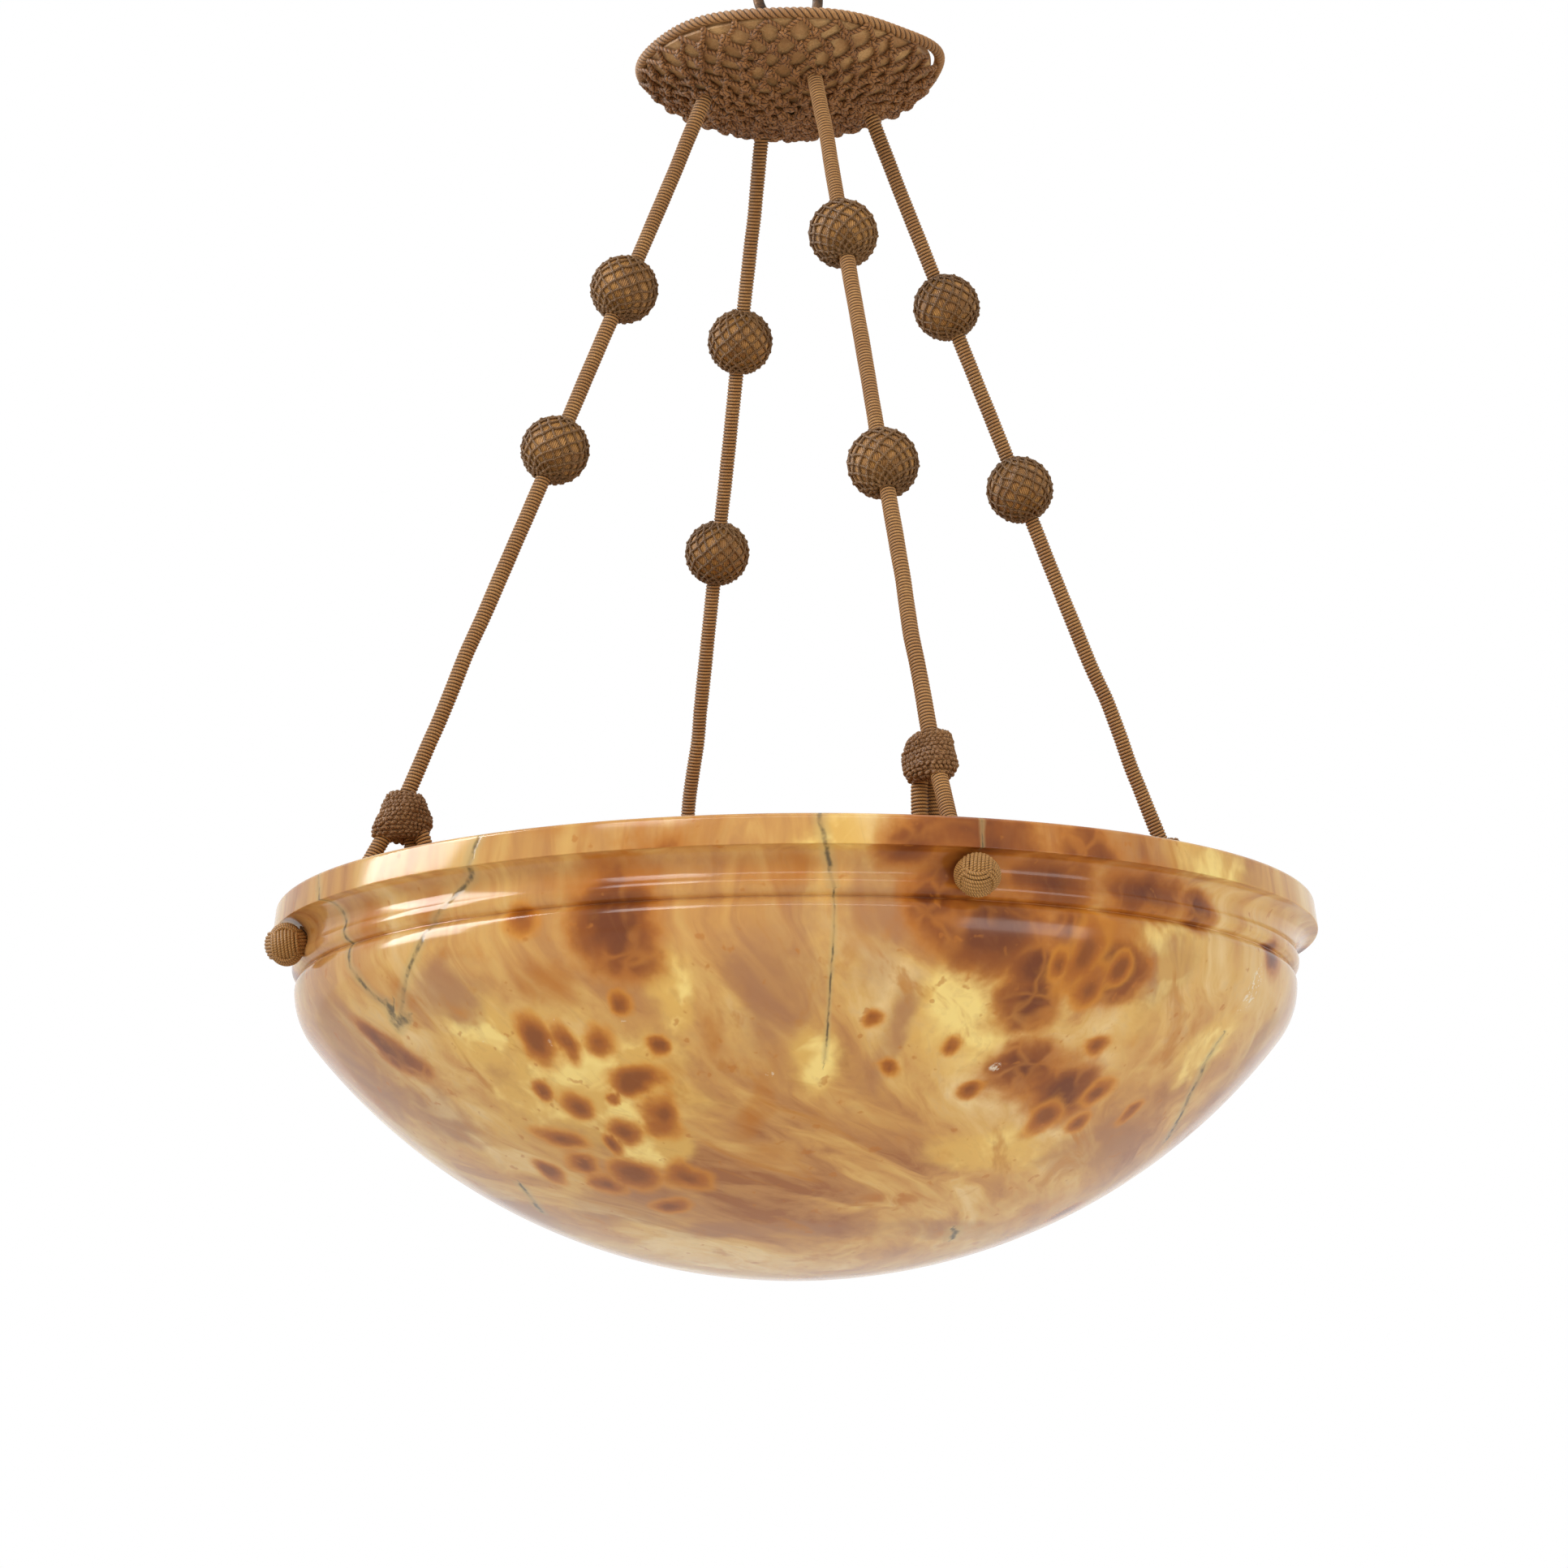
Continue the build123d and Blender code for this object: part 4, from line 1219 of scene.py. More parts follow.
def stone_markings() -> tuple[dict[Mark, tuple[Cloud, ...]], tuple[Thread, ...]]:
    """The bowl's markings: those seen from the front, and drawn ones round the rest.

    Returns:
        Clouds by kind, and the veins.
    """
    seen = {
        Mark.SPOT: [
            (-140.8, 97.4, 7, 13, 0), (-137.3, 98.5, 4.5, 11, 0), (-132.7, 98.6, 9, 8, -25),
            (-129.5, 116.5, 11, 6.5, 0),
            (-140.6, 127.4, 7, 8, 0), (-135.2, 137.4, 7, 8, 0), (-128.2, 133, 7, 12, 0), (-147.9, 137.8, 11, 6.5, 25),
            (-139.1, 143.3, 4, 5, 0), (-138.9, 155.9, 12, 10, 20), (-148.2, 149.6, 7, 6, 0), (-130, 158.5, 10, 10, 0),
            (-147.7, 159, 7, 8, 0), (-156.8, 150.9, 8, 7, 30), (-137.6, 169.1, 8, 6, 0), (-127.9, 84.7, 5, 5, 0),
            (-125.4, 104.1, 4.5, 4.5, 0), (-138.1, 41.9, 8, 8, 0), (-144, 118, 4, 5, 0), (-134, 124, 3.5, 4, 0),
            (-89, 103.7, 4.5, 5, 0), (-99.6, 92.7, 4.5, 5, 0), (-69.2, 99, 6, 5, 0),
            (-97, 113.8, 6, 4, 20), (-69.6, 130.4, 8, 8, 0),
            (-63.2, 118.2, 7, 7, 0), (-53.4, 123.1, 5, 6, 0), (-76, 58.4, 8, 17, 15), (-74, 75, 7, 9, 0),
            (-79, 66, 5, 7, 0), (-71, 66, 5, 7, 0), (-84, 122, 5, 4, 0), (-62, 131, 5, 5, 0),
        ],
        Mark.RED: [
            (-126.8, 48, 17, 24, 0), (-90, 9, 32, 10, 0), (-88, 52, 26, 17, 0), (-80.5, 28, 20, 15, 0),
            (-68.5, 27, 22, 12, 0), (-165.9, 91.3, 8, 20, -35), (-94, 40, 12, 14, 0), (-43, 42, 9, 9, 0),
            (-97, 16, 12, 10, 0), (-78, 10, 18, 8, 0), (-82, 68, 12, 9, 0), (-60, 31, 10, 9, 0), (-91, 26, 14, 12, 0),
            (-121, 8, 10, 5, 0), (-81.5, 84, 15, 15, 0), (-77.6, 111.7, 17, 15, 0), (-69.5, 118, 18, 15, 30),
            (-72, 68, 17, 15, 10), (-77, 52, 16, 12, 0),
        ],
        Mark.AMBER: [
            (-131.2, 5.6, 17, 8, 0), (-119, 9, 26, 8, 0), (-136.9, 73.2, 18, 13, 0),
            (-117.8, 98, 5, 24, 10), (-114, 130, 6, 30, 20),
            (-114, 150, 14, 10, 0), (-86, 168, 18, 6, 0), (-92, 26, 32, 18, 0), (-84, 50, 44, 32, 0),
            (-72, 36, 36, 22, 0), (-160, 30, 12, 18, 0), (-157, 66, 12, 22, 20), (-128, 26, 32, 10, 0),
            (-73, 122, 30, 24, 0), (-150, 36, 12, 16, 0), (-110, 24, 22, 9, 0), (-55, 92, 10, 14, 0),
        ],
        Mark.YELLOW: [
            (-138, 118, 62, 50, 0), (-148, 92, 30, 26, 0), (-132, 146, 26, 20, 0), (-86, 84, 40, 42, 0),
            (-104, 12, 26, 14, 0), (-90, 76, 20, 30, 0), (-106, 112, 14, 26, 0),
            (-74, 146, 34, 18, 0), (-66, 62, 32, 34, 0),
            (-122, 78, 14, 26, 0), (-60, 8, 40, 10, 0), (-48, 92, 24, 24, 0),
        ],
        Mark.MAUVE: [
            (-176, 84, 36, 46, 0), (-170, 120, 26, 26, 0), (-100, 56, 15, 42, 0),
            (-152, 72, 30, 18, 0), (-110, 76, 26, 44, 10),
            (-28, 78, 40, 50, 0), (-120, 180, 50, 10, 0), (-60, 178, 50, 12, 0),
            (-64, 66, 22, 22, 0), (-52, 140, 34, 22, 0), (-148, 168, 40, 18, 0), (-97, 100, 8, 44, 12),
        ],
        Mark.WEB: [
            (-46.7, 60.9, 7, 16, 0), (-137.5, 88.1, 3, 3, 0), (-139.2, 99.3, 3, 3, 0), (-148.6, 93.9, 2.5, 3, 0),
            (-146.3, 98.4, 2.5, 3, 0), (-82, 112, 4, 4, 0), (-128, 92, 2.5, 3, 0), (-112, 118, 3, 3, 0),
        ],
    }
    rng = np.random.default_rng(11)
    drawn = {mark: [] for mark in Mark}
    spans = {
        Mark.SPOT: (70, (3.5, 12), (75, 165)),
        Mark.RED: (9, (12, 26), (5, 70)),
        Mark.AMBER: (22, (10, 34), (10, 170)),
        Mark.YELLOW: (12, (26, 60), (10, 160)),
        Mark.MAUVE: (14, (20, 50), (30, 185)),
    }
    groups_of_spots = rng.uniform(0, 190, 5) - 15
    for mark, (count, sizes, depths) in spans.items():
        azimuths = rng.uniform(0, 190, count) - 15
        if mark is Mark.SPOT:
            azimuths = rng.choice(groups_of_spots, count) + rng.normal(0, 8, count)
        down = rng.uniform(*depths, count)
        first, second = rng.uniform(*sizes, count), rng.uniform(*sizes, count)
        turns = rng.uniform(-40, 40, count)
        drawn[mark] = list(zip(azimuths.tolist(), down.tolist(), first.tolist(), second.tolist(), turns.tolist()))
    clouds = {mark: tuple(Cloud(*values) for values in seen.get(mark, []) + drawn[mark]) for mark in Mark}
    threads = (
        Thread(((-141.5, 2), (-143.9, 19.2), (-149.5, 36), (-153, 54.5), (-160.2, 80)), 2.2),
        Thread(((-168.5, 4), (-167.9, 12.4), (-166, 27), (-165.3, 50), (-161.4, 69.3), (-160.2, 80)), 2.4),
        Thread(((-160.5, 72), (-161.5, 82), (-158.8, 78)), 5.0),
        Thread(((-105.8, 1), (-104.9, 18.2), (-104.3, 35.4)), 2.0),
        Thread(((-104.3, 35.4), (-104.5, 84.9), (-104.7, 111)), 0.9),
        Thread(((-46.8, 86.6), (-45.6, 97.7), (-41.9, 111.7), (-32.6, 129)), 2.4),
        Thread(((-170.4, 153.7), (-174, 160), (-179.7, 164.3)), 2.4),
        Thread(((-60, 178), (-54, 181)), 3.2),
        Thread(((-89.4, 1.5), (-89.5, 13.5)), 0.9),
        Thread(((20, 3), (24, 30), (19, 62), (27, 96), (24, 130)), 2.0),
        Thread(((96, 2), (92, 24), (97, 58), (90, 88)), 1.8),
        Thread(((150, 40), (141, 76), (146, 112), (133, 150)), 2.2),
        Thread(((60, 96), (68, 124), (64, 158)), 1.8),
    )
    return clouds, threads


# ------------------------------------------------------------------ ropes, legs and cords
@dataclass
class RopeLine:
    """The straight line that a rope follows, built for the right side and turned to its own."""

    side: Side
    top_radius: float = 44.5
    top_z: float = -71.0
    foot_radius: float = 221.0
    foot_z: float = -504.0

    def at(self, heights: np.ndarray) -> np.ndarray:
        """Points of the line at heights."""
        share = (heights - self.top_z) / (self.foot_z - self.top_z)
        radii = self.top_radius + share * (self.foot_radius - self.top_radius)
        points = np.stack([radii, np.zeros_like(radii), heights], axis=-1)
        return about_z(points, self.side.value)

    @property
    def upward(self) -> np.ndarray:
        """Unit direction up the line."""
        ends = self.at(np.array([self.foot_z, self.top_z]))
        return unit(ends[1] - ends[0])


@dataclass
class WoundRope:
    """A silk-wound rope from its stop knot above the canopy's floor to its collar."""

    line: RopeLine
    radius: float = 4.3
    head_z: float = -58.0
    foot_z: float = -503.0
    pitch: float = 1.9
    groove: float = 0.62
    sides: int = 18
    samples: int = 7
    sway: float = 0.15

    def build(self, material: bpy.types.Material) -> bpy.types.Object:
        """The rope, with a slight sway of its centre line and swelling of its winding."""
        ends = self.line.at(np.array([self.foot_z, self.head_z]))
        length = np.linalg.norm(ends[1] - ends[0])
        steps = int(length / self.pitch * self.samples)
        share = np.linspace(0, 1, steps)[:, None]
        path = ends[0] + (ends[1] - ends[0]) * share
        across = unit(np.cross(self.line.upward, [0, 0, 1.0]))
        other = np.cross(self.line.upward, across)
        phase = self.line.side.seed * 1.7
        along = share * length
        below = np.clip((along - 45) / 25, 0, 1) * np.clip((118 - along) / 20, 0, 1)
        above = np.clip((along - 395) / 18, 0, 1) * np.clip((475 - along) / 18, 0, 1)
        taper = np.sin(np.pi * share) + 5.8 * below + 3.5 * above
        path = path + self.sway * taper * (
            np.sin(along / 21 + phase) * across + np.sin(along / 27 + 2 * phase) * other)
        section = wound_section(self.radius - 0.06, self.pitch, self.groove, 0.05)
        surface = tubes(path[None], across, self.sides, section)
        name = self.line.side.word + "_rope"
        rope = surface.to_object("wound_" + name, material)
        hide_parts(name)
        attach(rope, "pendant")
        return rope


def bent_path(corners: np.ndarray, bend: float, spacing: float) -> np.ndarray:
    """Path through three corners with a round bend at the middle one, evenly spaced.

    Args:
        corners: Start, corner and end.
        bend: Radius of the bend.
        spacing: Distance between the path's points.

    Returns:
        The path's points.
    """
    start, corner, end = corners
    back, ahead = unit(start - corner), unit(end - corner)
    half = math.acos(float(np.clip(back @ ahead, -1, 1))) / 2
    cut = bend / math.tan(half)
    middle = corner + unit(back + ahead) * bend / math.sin(half)
    first, last = corner + back * cut, corner + ahead * cut
    swing = math.pi - 2 * half
    turns = np.linspace(0, 1, 24)[:, None] * swing
    arm = unit(first - middle)
    other = unit((last - middle) - ((last - middle) @ arm) * arm)
    bow = middle + bend * (np.cos(turns) * arm + np.sin(turns) * other)
    rough = np.concatenate([start[None], bow, end[None]])
    lengths = np.concatenate([[0], np.cumsum(np.linalg.norm(np.diff(rough, axis=0), axis=1))])
    even = np.linspace(0, lengths[-1], int(lengths[-1] / spacing))
    return np.stack([np.interp(even, lengths, rough[:, axis]) for axis in range(3)], axis=1)


@dataclass
class ToggleLeg:
    """The leg that runs from the collar out through the bowl's hole into the knob."""

    line: RopeLine
    bowl: AlabasterBowl
    radius: float = 4.3
    bend: float = 43.0
    bend_inset: float = 6.5
    pitch: float = 1.8
    start_z: float = -498.0
    end_in_knob: float = 3.0

    def build(self, material: bpy.types.Material) -> bpy.types.Object:
        """The leg along the rope's foot, its bend and the hole's axis."""
        bowl = self.bowl
        lean = math.radians(bowl.hole_angle)
        inner = bowl.radius - bowl.rim_width
        taper = math.tan(math.radians(bowl.inner_taper))
        reach = (inner - (bowl.knob_below_rim - bowl.rim_round) * taper - bowl.knob_circle) / (
            math.cos(lean) + math.sin(lean) * taper)
        knob_z = bowl.rim_z - bowl.knob_below_rim
        places = [
            [bowl.knob_circle + s * math.cos(lean), 0.0, knob_z - s * math.sin(lean)]
            for s in (reach - self.bend_inset, self.end_in_knob)
        ]
        corner, end = about_z(np.array(places), self.line.side.value)
        start = self.line.at(np.array([self.start_z]))[0]
        path = bent_path(np.stack([start, corner, end]), self.bend, self.pitch / 7)
        across = about_z(np.array([0.0, 1.0, 0.0]), self.line.side.value)
        surface = tubes(path[None], across, 18, wound_section(self.radius - 0.05, self.pitch, 0.48, 0.03))
        name = self.line.side.word + "_toggle_leg"
        leg = surface.to_object("wound_" + name, material)
        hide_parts(name)
        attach(leg, "pendant")
        return leg


@dataclass
class LampCords:
    """The two legs under a collar that carry its lamp, with their heads up in the collar."""

    side: Side
    circle: float = 209.5
    offsets: tuple[tuple[float, float], ...] = ((2.5, -4.5), (-2.5, 4.0))
    top_z: float = -516.4
    length: float = 20.0
    head: float = 7.0
    radius: float = 4.3
    pitch: float = 1.8

    def build(self, material: bpy.types.Material) -> bpy.types.Object:
        """Both legs, from inside the collar down to the lampholder's crown."""
        steps = int((self.length + self.head) / self.pitch * 7)
        heights = np.linspace(self.top_z - self.length - 0.5, self.top_z + self.head, steps)
        gather = np.clip((heights - self.top_z + 6) / (self.head + 6), 0, 1) ** 2
        paths = []
        for outward, sideways in self.offsets:
            x = self.circle + outward + gather * (3.0 - outward * 0.6)
            y = sideways * (1 - 0.35 * gather)
            paths.append(about_z(np.stack([x, y, heights], axis=-1), self.side.value))
        section = wound_section(self.radius - 0.05, self.pitch, 0.48, 0.03)
        surface = tubes(np.stack(paths), np.array([1.0, 0.3, 0.0]), 18, section)
        name = self.side.word + "_lamp_cords"
        cords = surface.to_object("wound_" + name, material)
        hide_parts(name)
        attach(cords, self.side.word + "_lamp")
        return cords


# ------------------------------------------------------------------ balls and their nets
@dataclass
class NettedBall:
    """A ball wrapped in golden yarn from mouth to mouth, under a fine knotted net."""

    line: RopeLine
    place: str
    height: float
    rim_z: float = -547.0
    radius: float = 17.3
    strands: int = 84
    mouth: float = 4.9
    net_mouth: float = 5.9
    thread: float = 0.68
    knots: int = 14
    rows: int = 13
    lift: float = 0.75

    def axes(self) -> tuple[np.ndarray, np.ndarray]:
        """Centre of the ball, and its three directions as rows: across, across and up the rope."""
        centre = self.line.at(np.array([self.rim_z + self.height]))[0]
        up = self.line.upward
        first = unit(np.cross(up, [0.3, 0.9, 0.1]))
        return centre, np.stack([first, np.cross(up, first), up])

    def on_ball(self, slope: np.ndarray, angle: np.ndarray, radius: np.ndarray | float) -> np.ndarray:
        """Points at polar slopes from the upper mouth and at angles round the rope."""
        centre, frame_axes = self.axes()
        local = np.stack([np.sin(slope) * np.cos(angle), np.sin(slope) * np.sin(angle), np.cos(slope)], -1)
        return centre + (local * np.asarray(radius)[..., None]) @ frame_axes

    def build_ball(self, material: bpy.types.Material) -> bpy.types.Object:
        """The ball: r = R - c + c |sin(n a / 2)|, from its lower mouth over the equator to the upper."""
        centre, frame_axes = self.axes()
        edge = math.asin(self.mouth / self.radius)
        slopes = np.linspace(math.pi - edge, edge, 34)
        outline = np.stack([self.radius * np.sin(slopes), self.radius * np.cos(slopes)], 1)
        lower = np.array([[0.0, outline[0, 1] + 2.2], [self.mouth - 0.4, outline[0, 1] + 1.6]])
        upper = np.array([[self.mouth - 0.4, outline[-1, 1] - 1.6], [0.0, outline[-1, 1] - 2.2]])
        profile = np.concatenate([lower, outline, upper])

        def ribbed(grid: np.ndarray, angle: np.ndarray, reach: np.ndarray) -> np.ndarray:
            """Press a crease between the strands."""
            crease = 0.22 * (1 - np.abs(np.sin(self.strands * angle / 2)))
            wander = 0.10 * np.sin(7 * angle + reach / 5.0)
            return grid * (1 - (crease + wander)[..., None] / self.radius)

        surface = lathe(profile[:, 0], profile[:, 1], self.strands * 4, ribbed)
        surface = surface.moved(lambda points: centre + points @ frame_axes)
        name = f"{self.line.side.word}_{self.place}_ball"
        ball = surface.to_object("wrapped_" + name, material)
        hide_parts(name)
        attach(ball, name)
        return ball

    def build_net(self, material: bpy.types.Material) -> bpy.types.Object:
        """The net: knots in rows that close up towards the lower mouth, and threads between them."""
        rng = np.random.default_rng(self.line.side.seed * 10 + len(self.place))
        spacing = np.linspace(13.6, 7.2, self.rows - 1)
        slopes = np.radians(19.5 + np.concatenate([[0], np.cumsum(spacing * 142 / spacing.sum())]))
        row = np.arange(self.rows)[:, None]
        angle = (np.arange(self.knots)[None, :] + 0.5 * (row % 2)) * TURN / self.knots
        angle = angle + rng.normal(0, 0.035, angle.shape)
        slope = slopes[:, None] + rng.normal(0, 0.018, angle.shape)
        surfaces = []
        across = np.arange(self.knots)
        starts, ends = [], []
        for index in range(self.rows - 1):
            other = (across - 1) if index % 2 == 0 else (across + 1)
            for target in (across, other % self.knots):
                finish = angle[index + 1][target]
                finish = angle[index] + (finish - angle[index] + math.pi) % TURN - math.pi
                starts.append(np.stack([slope[index], angle[index]], -1))
                ends.append(np.stack([slope[index + 1][target], finish], -1))
        start, end = np.concatenate(starts)[:, None], np.concatenate(ends)[:, None]
        share = np.linspace(0, 1, 6)[None, :, None]
        path = start + (end - start) * share
        bow = np.sin(np.pi * share[..., 0]) * rng.normal(0, 0.012, (len(start), 1))
        centre = self.axes()[0]
        lines = self.on_ball(path[..., 0] + bow, path[..., 1], np.full(path.shape[:2], self.radius + self.lift))
        surfaces.append(tubes(lines, lines - centre, 6, plain_section(self.thread)))
        middles = self.on_ball(slope.ravel(), angle.ravel(), np.full(angle.size, self.radius + self.lift + 0.15))
        spans = ((1.2, 1.6), (1.0, 1.3), (0.95, 1.3))
        sizes = np.stack([rng.uniform(*span, angle.size) for span in spans], 1)
        surfaces.append(lumps(middles, middles - centre, rng.normal(0, 1, middles.shape), sizes, 7, 4))
        turn = np.arange(28) * TURN / 28
        for mouth_slope in (math.asin(self.net_mouth / self.radius), math.pi - math.asin(self.net_mouth / self.radius)):
            loop = self.on_ball(np.full(28, mouth_slope), turn, self.radius + 0.3 + 0.15 * np.sin(5 * turn))
            if mouth_slope > 1:
                loop = loop[::-1]
            surfaces.append(tubes(loop[None], loop - centre, 6, plain_section(0.62), closed=True))
        name = f"{self.line.side.word}_{self.place}_ball_net"
        net = Surface.joined(surfaces).to_object("knotted_" + name, material)
        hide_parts(name)
        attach(net, f"{self.line.side.word}_{self.place}_ball")
        return net


# ------------------------------------------------------------------ collars and knobs
@dataclass
class CrochetCollar:
    """The crocheted collar where a rope divides: a lumpy barrel covered with small stitches."""

    side: Side
    circle: float = 217.0
    middle_z: float = -504.0
    radius: float = 11.9
    end_radius: float = 9.8
    height: float = 22.0
    round_off: float = 3.4
    stitch: float = 2.5
    course: float = 2.15

    def shaped(self, points: np.ndarray) -> np.ndarray:
        """Make the barrel uneven: it swells over the outer leg and sags at its inner side.

        The foot's outer side moves out by 8.6 mm, the inner and sideways part hangs 3.2 mm lower,
        and broad waves of about 1 mm go over the whole.

        Args:
            points: Points round the collar's own middle, with the first axis outwards.

        Returns:
            The moved points.
        """
        x, y, z = points[..., 0], points[..., 1], points[..., 2]
        reach = np.clip(np.hypot(x, y) / self.radius, 0, 1)
        angle = np.arctan2(y, x)
        low = np.clip((2.0 - z) / (self.height / 2 + 2.0), 0, 1)
        outer = np.clip(np.cos(angle), 0, 1) ** 1.5 * reach * low
        sag = np.clip(np.cos(angle + 2.25), 0, 1) * reach
        seed = self.side.seed
        wave = 0.55 * np.sin(2 * angle + 1.3 * seed + z / 4.0) + 0.45 * np.sin(3 * angle - z / 3.1 + 2.1 * seed)
        swell = 1 + reach * (wave + 1.3 * sag) / self.radius
        lifted = 1.4 * np.clip(np.cos(angle - 0.6), 0, 1) * (1 - low) * reach
        moved_z = z - 3.2 * sag * low - 2.4 * sag * (1 - low) + lifted
        return np.stack([x * swell + 8.6 * outer, y * swell, moved_z - 1.6 * outer], axis=-1)

    def outline(self) -> np.ndarray:
        """Profile from the foot's middle over the wall to the head's middle."""
        half = self.height / 2
        flat = self.end_radius - self.round_off
        bulge = np.linspace(-1, 1, 26)[1:-1]
        wall = np.stack([self.end_radius + (self.radius - self.end_radius) * (1 - bulge**2), bulge * (half - 2.7)], 1)
        return np.concatenate(
            [
                [[0.0, -half + 0.3], [flat * 0.5, -half + 0.2]],
                arc((flat, -half + self.round_off), self.round_off, -90, -12, 8),
                wall,
                arc((flat, half - self.round_off), self.round_off, 12, 90, 8),
                [[flat * 0.5, half - 0.2], [0.0, half - 0.3]],
            ]
        )

    def stitches(self) -> Surface:
        """Slanting stitches in courses, each course leaning the other way and set half a stitch on."""
        rng = np.random.default_rng(self.side.seed)
        outline = self.outline()
        reach = np.concatenate([[0], np.cumsum(np.hypot(*np.diff(outline, axis=0).T))])
        courses = np.arange(3.4, reach[-1] - 3.4, self.course)
        radii, heights = np.interp(courses, reach, outline[:, 0]), np.interp(courses, reach, outline[:, 1])
        slope_r = np.interp(courses + 0.4, reach, outline[:, 0]) - radii
        slope_z = np.interp(courses + 0.4, reach, outline[:, 1]) - heights
        places, normals, ways = [], [], []
        for index, (radius, z, run_r, run_z) in enumerate(zip(radii, heights, slope_r, slope_z)):
            count = max(8, round(TURN * radius / self.stitch))
            angle = (np.arange(count) + 0.5 * (index % 2) + rng.normal(0, 0.12, count)) * TURN / count
            around = np.stack([np.cos(angle), np.sin(angle), 0 * angle], -1)
            along = np.stack([-np.sin(angle), np.cos(angle), 0 * angle], -1)
            up = unit(run_r * around + run_z * np.array([0.0, 0.0, 1.0]))
            lean = (0.75 if index % 2 else -0.75) + rng.normal(0, 0.18, (count, 1))
            places.append(radius * around + [0, 0, z] + rng.normal(0, 0.12, (count, 3)))
            normals.append(np.cross(along, up))
            ways.append(np.cos(lean) * along + np.sin(lean) * up)
        place, normal, way = np.concatenate(places), np.concatenate(normals), np.concatenate(ways)
        count = len(place)
        spans = ((1.45, 1.8), (0.8, 1.0), (1.0, 1.35))
        sizes = np.stack([rng.uniform(*span, count) for span in spans], 1)
        return lumps(place + 0.25 * normal, normal, way, sizes, 7, 4)

    def build(self, material: bpy.types.Material) -> bpy.types.Object:
        """The collar: its stitches over the barrel that they close.

        Args:
            material: The crocheted cord.

        Returns:
            The collar.
        """
        outline = self.outline()
        barrel = lathe(outline[:, 0], outline[:, 1], 72)
        surface = Surface.joined([barrel, self.stitches()]).moved(self.shaped)
        surface = surface.moved(lambda points: about_z(points + [self.circle, 0, self.middle_z], self.side.value))
        name = self.side.word + "_collar"
        collar = surface.to_object("crocheted_" + name, material)
        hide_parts(name)
        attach(collar, "pendant")
        return collar


def woven_ball(centre: np.ndarray, radius: float, strand: float, passes: int, seed: int, steps: int = 76) -> Surface:
    """Ball of three bundles of parallel strands that pass over and under one another.

    A strand of the bundle round X is the circle (o, q cos a, q sin a) with q^2 = R(a)^2 - o^2
    and R(a) = R - d cos(a)^2, so that it lies on top at the poles of Z and below at those of Y.
    The other two bundles follow with the axes changed round.

    Args:
        centre: Middle of the ball.
        radius: Radius over the strands.
        strand: Radius of one strand.
        passes: Strands in each bundle.
        seed: Seed of the ball's own turn and unevenness.
        steps: Points along each strand.

    Returns:
        The strands and the core under them.
    """
    rng = np.random.default_rng(seed)
    turn, _ = np.linalg.qr(rng.normal(0, 1, (3, 3)))
    if np.linalg.det(turn) < 0:
        turn[:, 0] *= -1
    angle = np.arange(steps) * TURN / steps
    spacing = strand * 1.86
    offsets = (np.arange(passes) - (passes - 1) / 2) * spacing
    crossing = radius - strand - 2.1 * strand * np.cos(angle) ** 2
    offset = offsets[:, None] * (1 + 0.02 * rng.normal(0, 1, (passes, 1))) * np.ones(steps)
    reach = np.sqrt(np.maximum(crossing[None] ** 2 - offset**2, 1.0))
    first = np.stack([offset, reach * np.cos(angle), reach * np.sin(angle)], -1)
    paths = np.concatenate([first, first[..., [2, 0, 1]], first[..., [1, 2, 0]]])
    surface = tubes(paths, paths, 7, plain_section(strand), closed=True)
    slopes = np.linspace(math.pi, 0, 18)
    within = radius - 3.2 * strand
    rings = np.concatenate([[0], within * np.sin(slopes[1:-1]), [0]])
    core = lathe(rings, within * np.cos(slopes), 24)
    return Surface.joined([surface, core]).moved(lambda points: points @ turn.T + centre)


@dataclass
class WovenKnob:
    """The woven knob that stops a toggle leg against the bowl's mouldings."""

    side: Side
    circle: float = 279.5
    middle_z: float = -575.5
    radius: float = 11.5
    strand: float = 0.95
    passes: int = 8

    def build(self, material: bpy.types.Material) -> bpy.types.Object:
        """The knob."""
        centre = about_z(np.array([self.circle, 0.0, self.middle_z]), self.side.value)
        surface = woven_ball(centre, self.radius, self.strand, self.passes, self.side.seed + 40)
        name = self.side.word + "_knob"
        knob = surface.to_object("woven_" + name, material)
        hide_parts(name)
        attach(knob, "pendant")
        return knob


@dataclass
class StopKnots:
    """The four knots above the dish's floor that carry the ropes."""

    middle_z: float = -64.5
    radius: float = 7.3
    strand: float = 0.95
    passes: int = 6

    def build(self, lines: list[RopeLine], material: bpy.types.Material) -> bpy.types.Object:
        """The four knots as one piece, as the node holds them."""
        parts = [
            woven_ball(line.at(np.array([self.middle_z]))[0], self.radius, self.strand, self.passes, line.side.seed, 44)
            for line in lines
        ]
        knots = Surface.joined(parts).to_object("woven_stop_knots", material)
        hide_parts("rope_stop_knots")
        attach(knots, "pendant")
        return knots


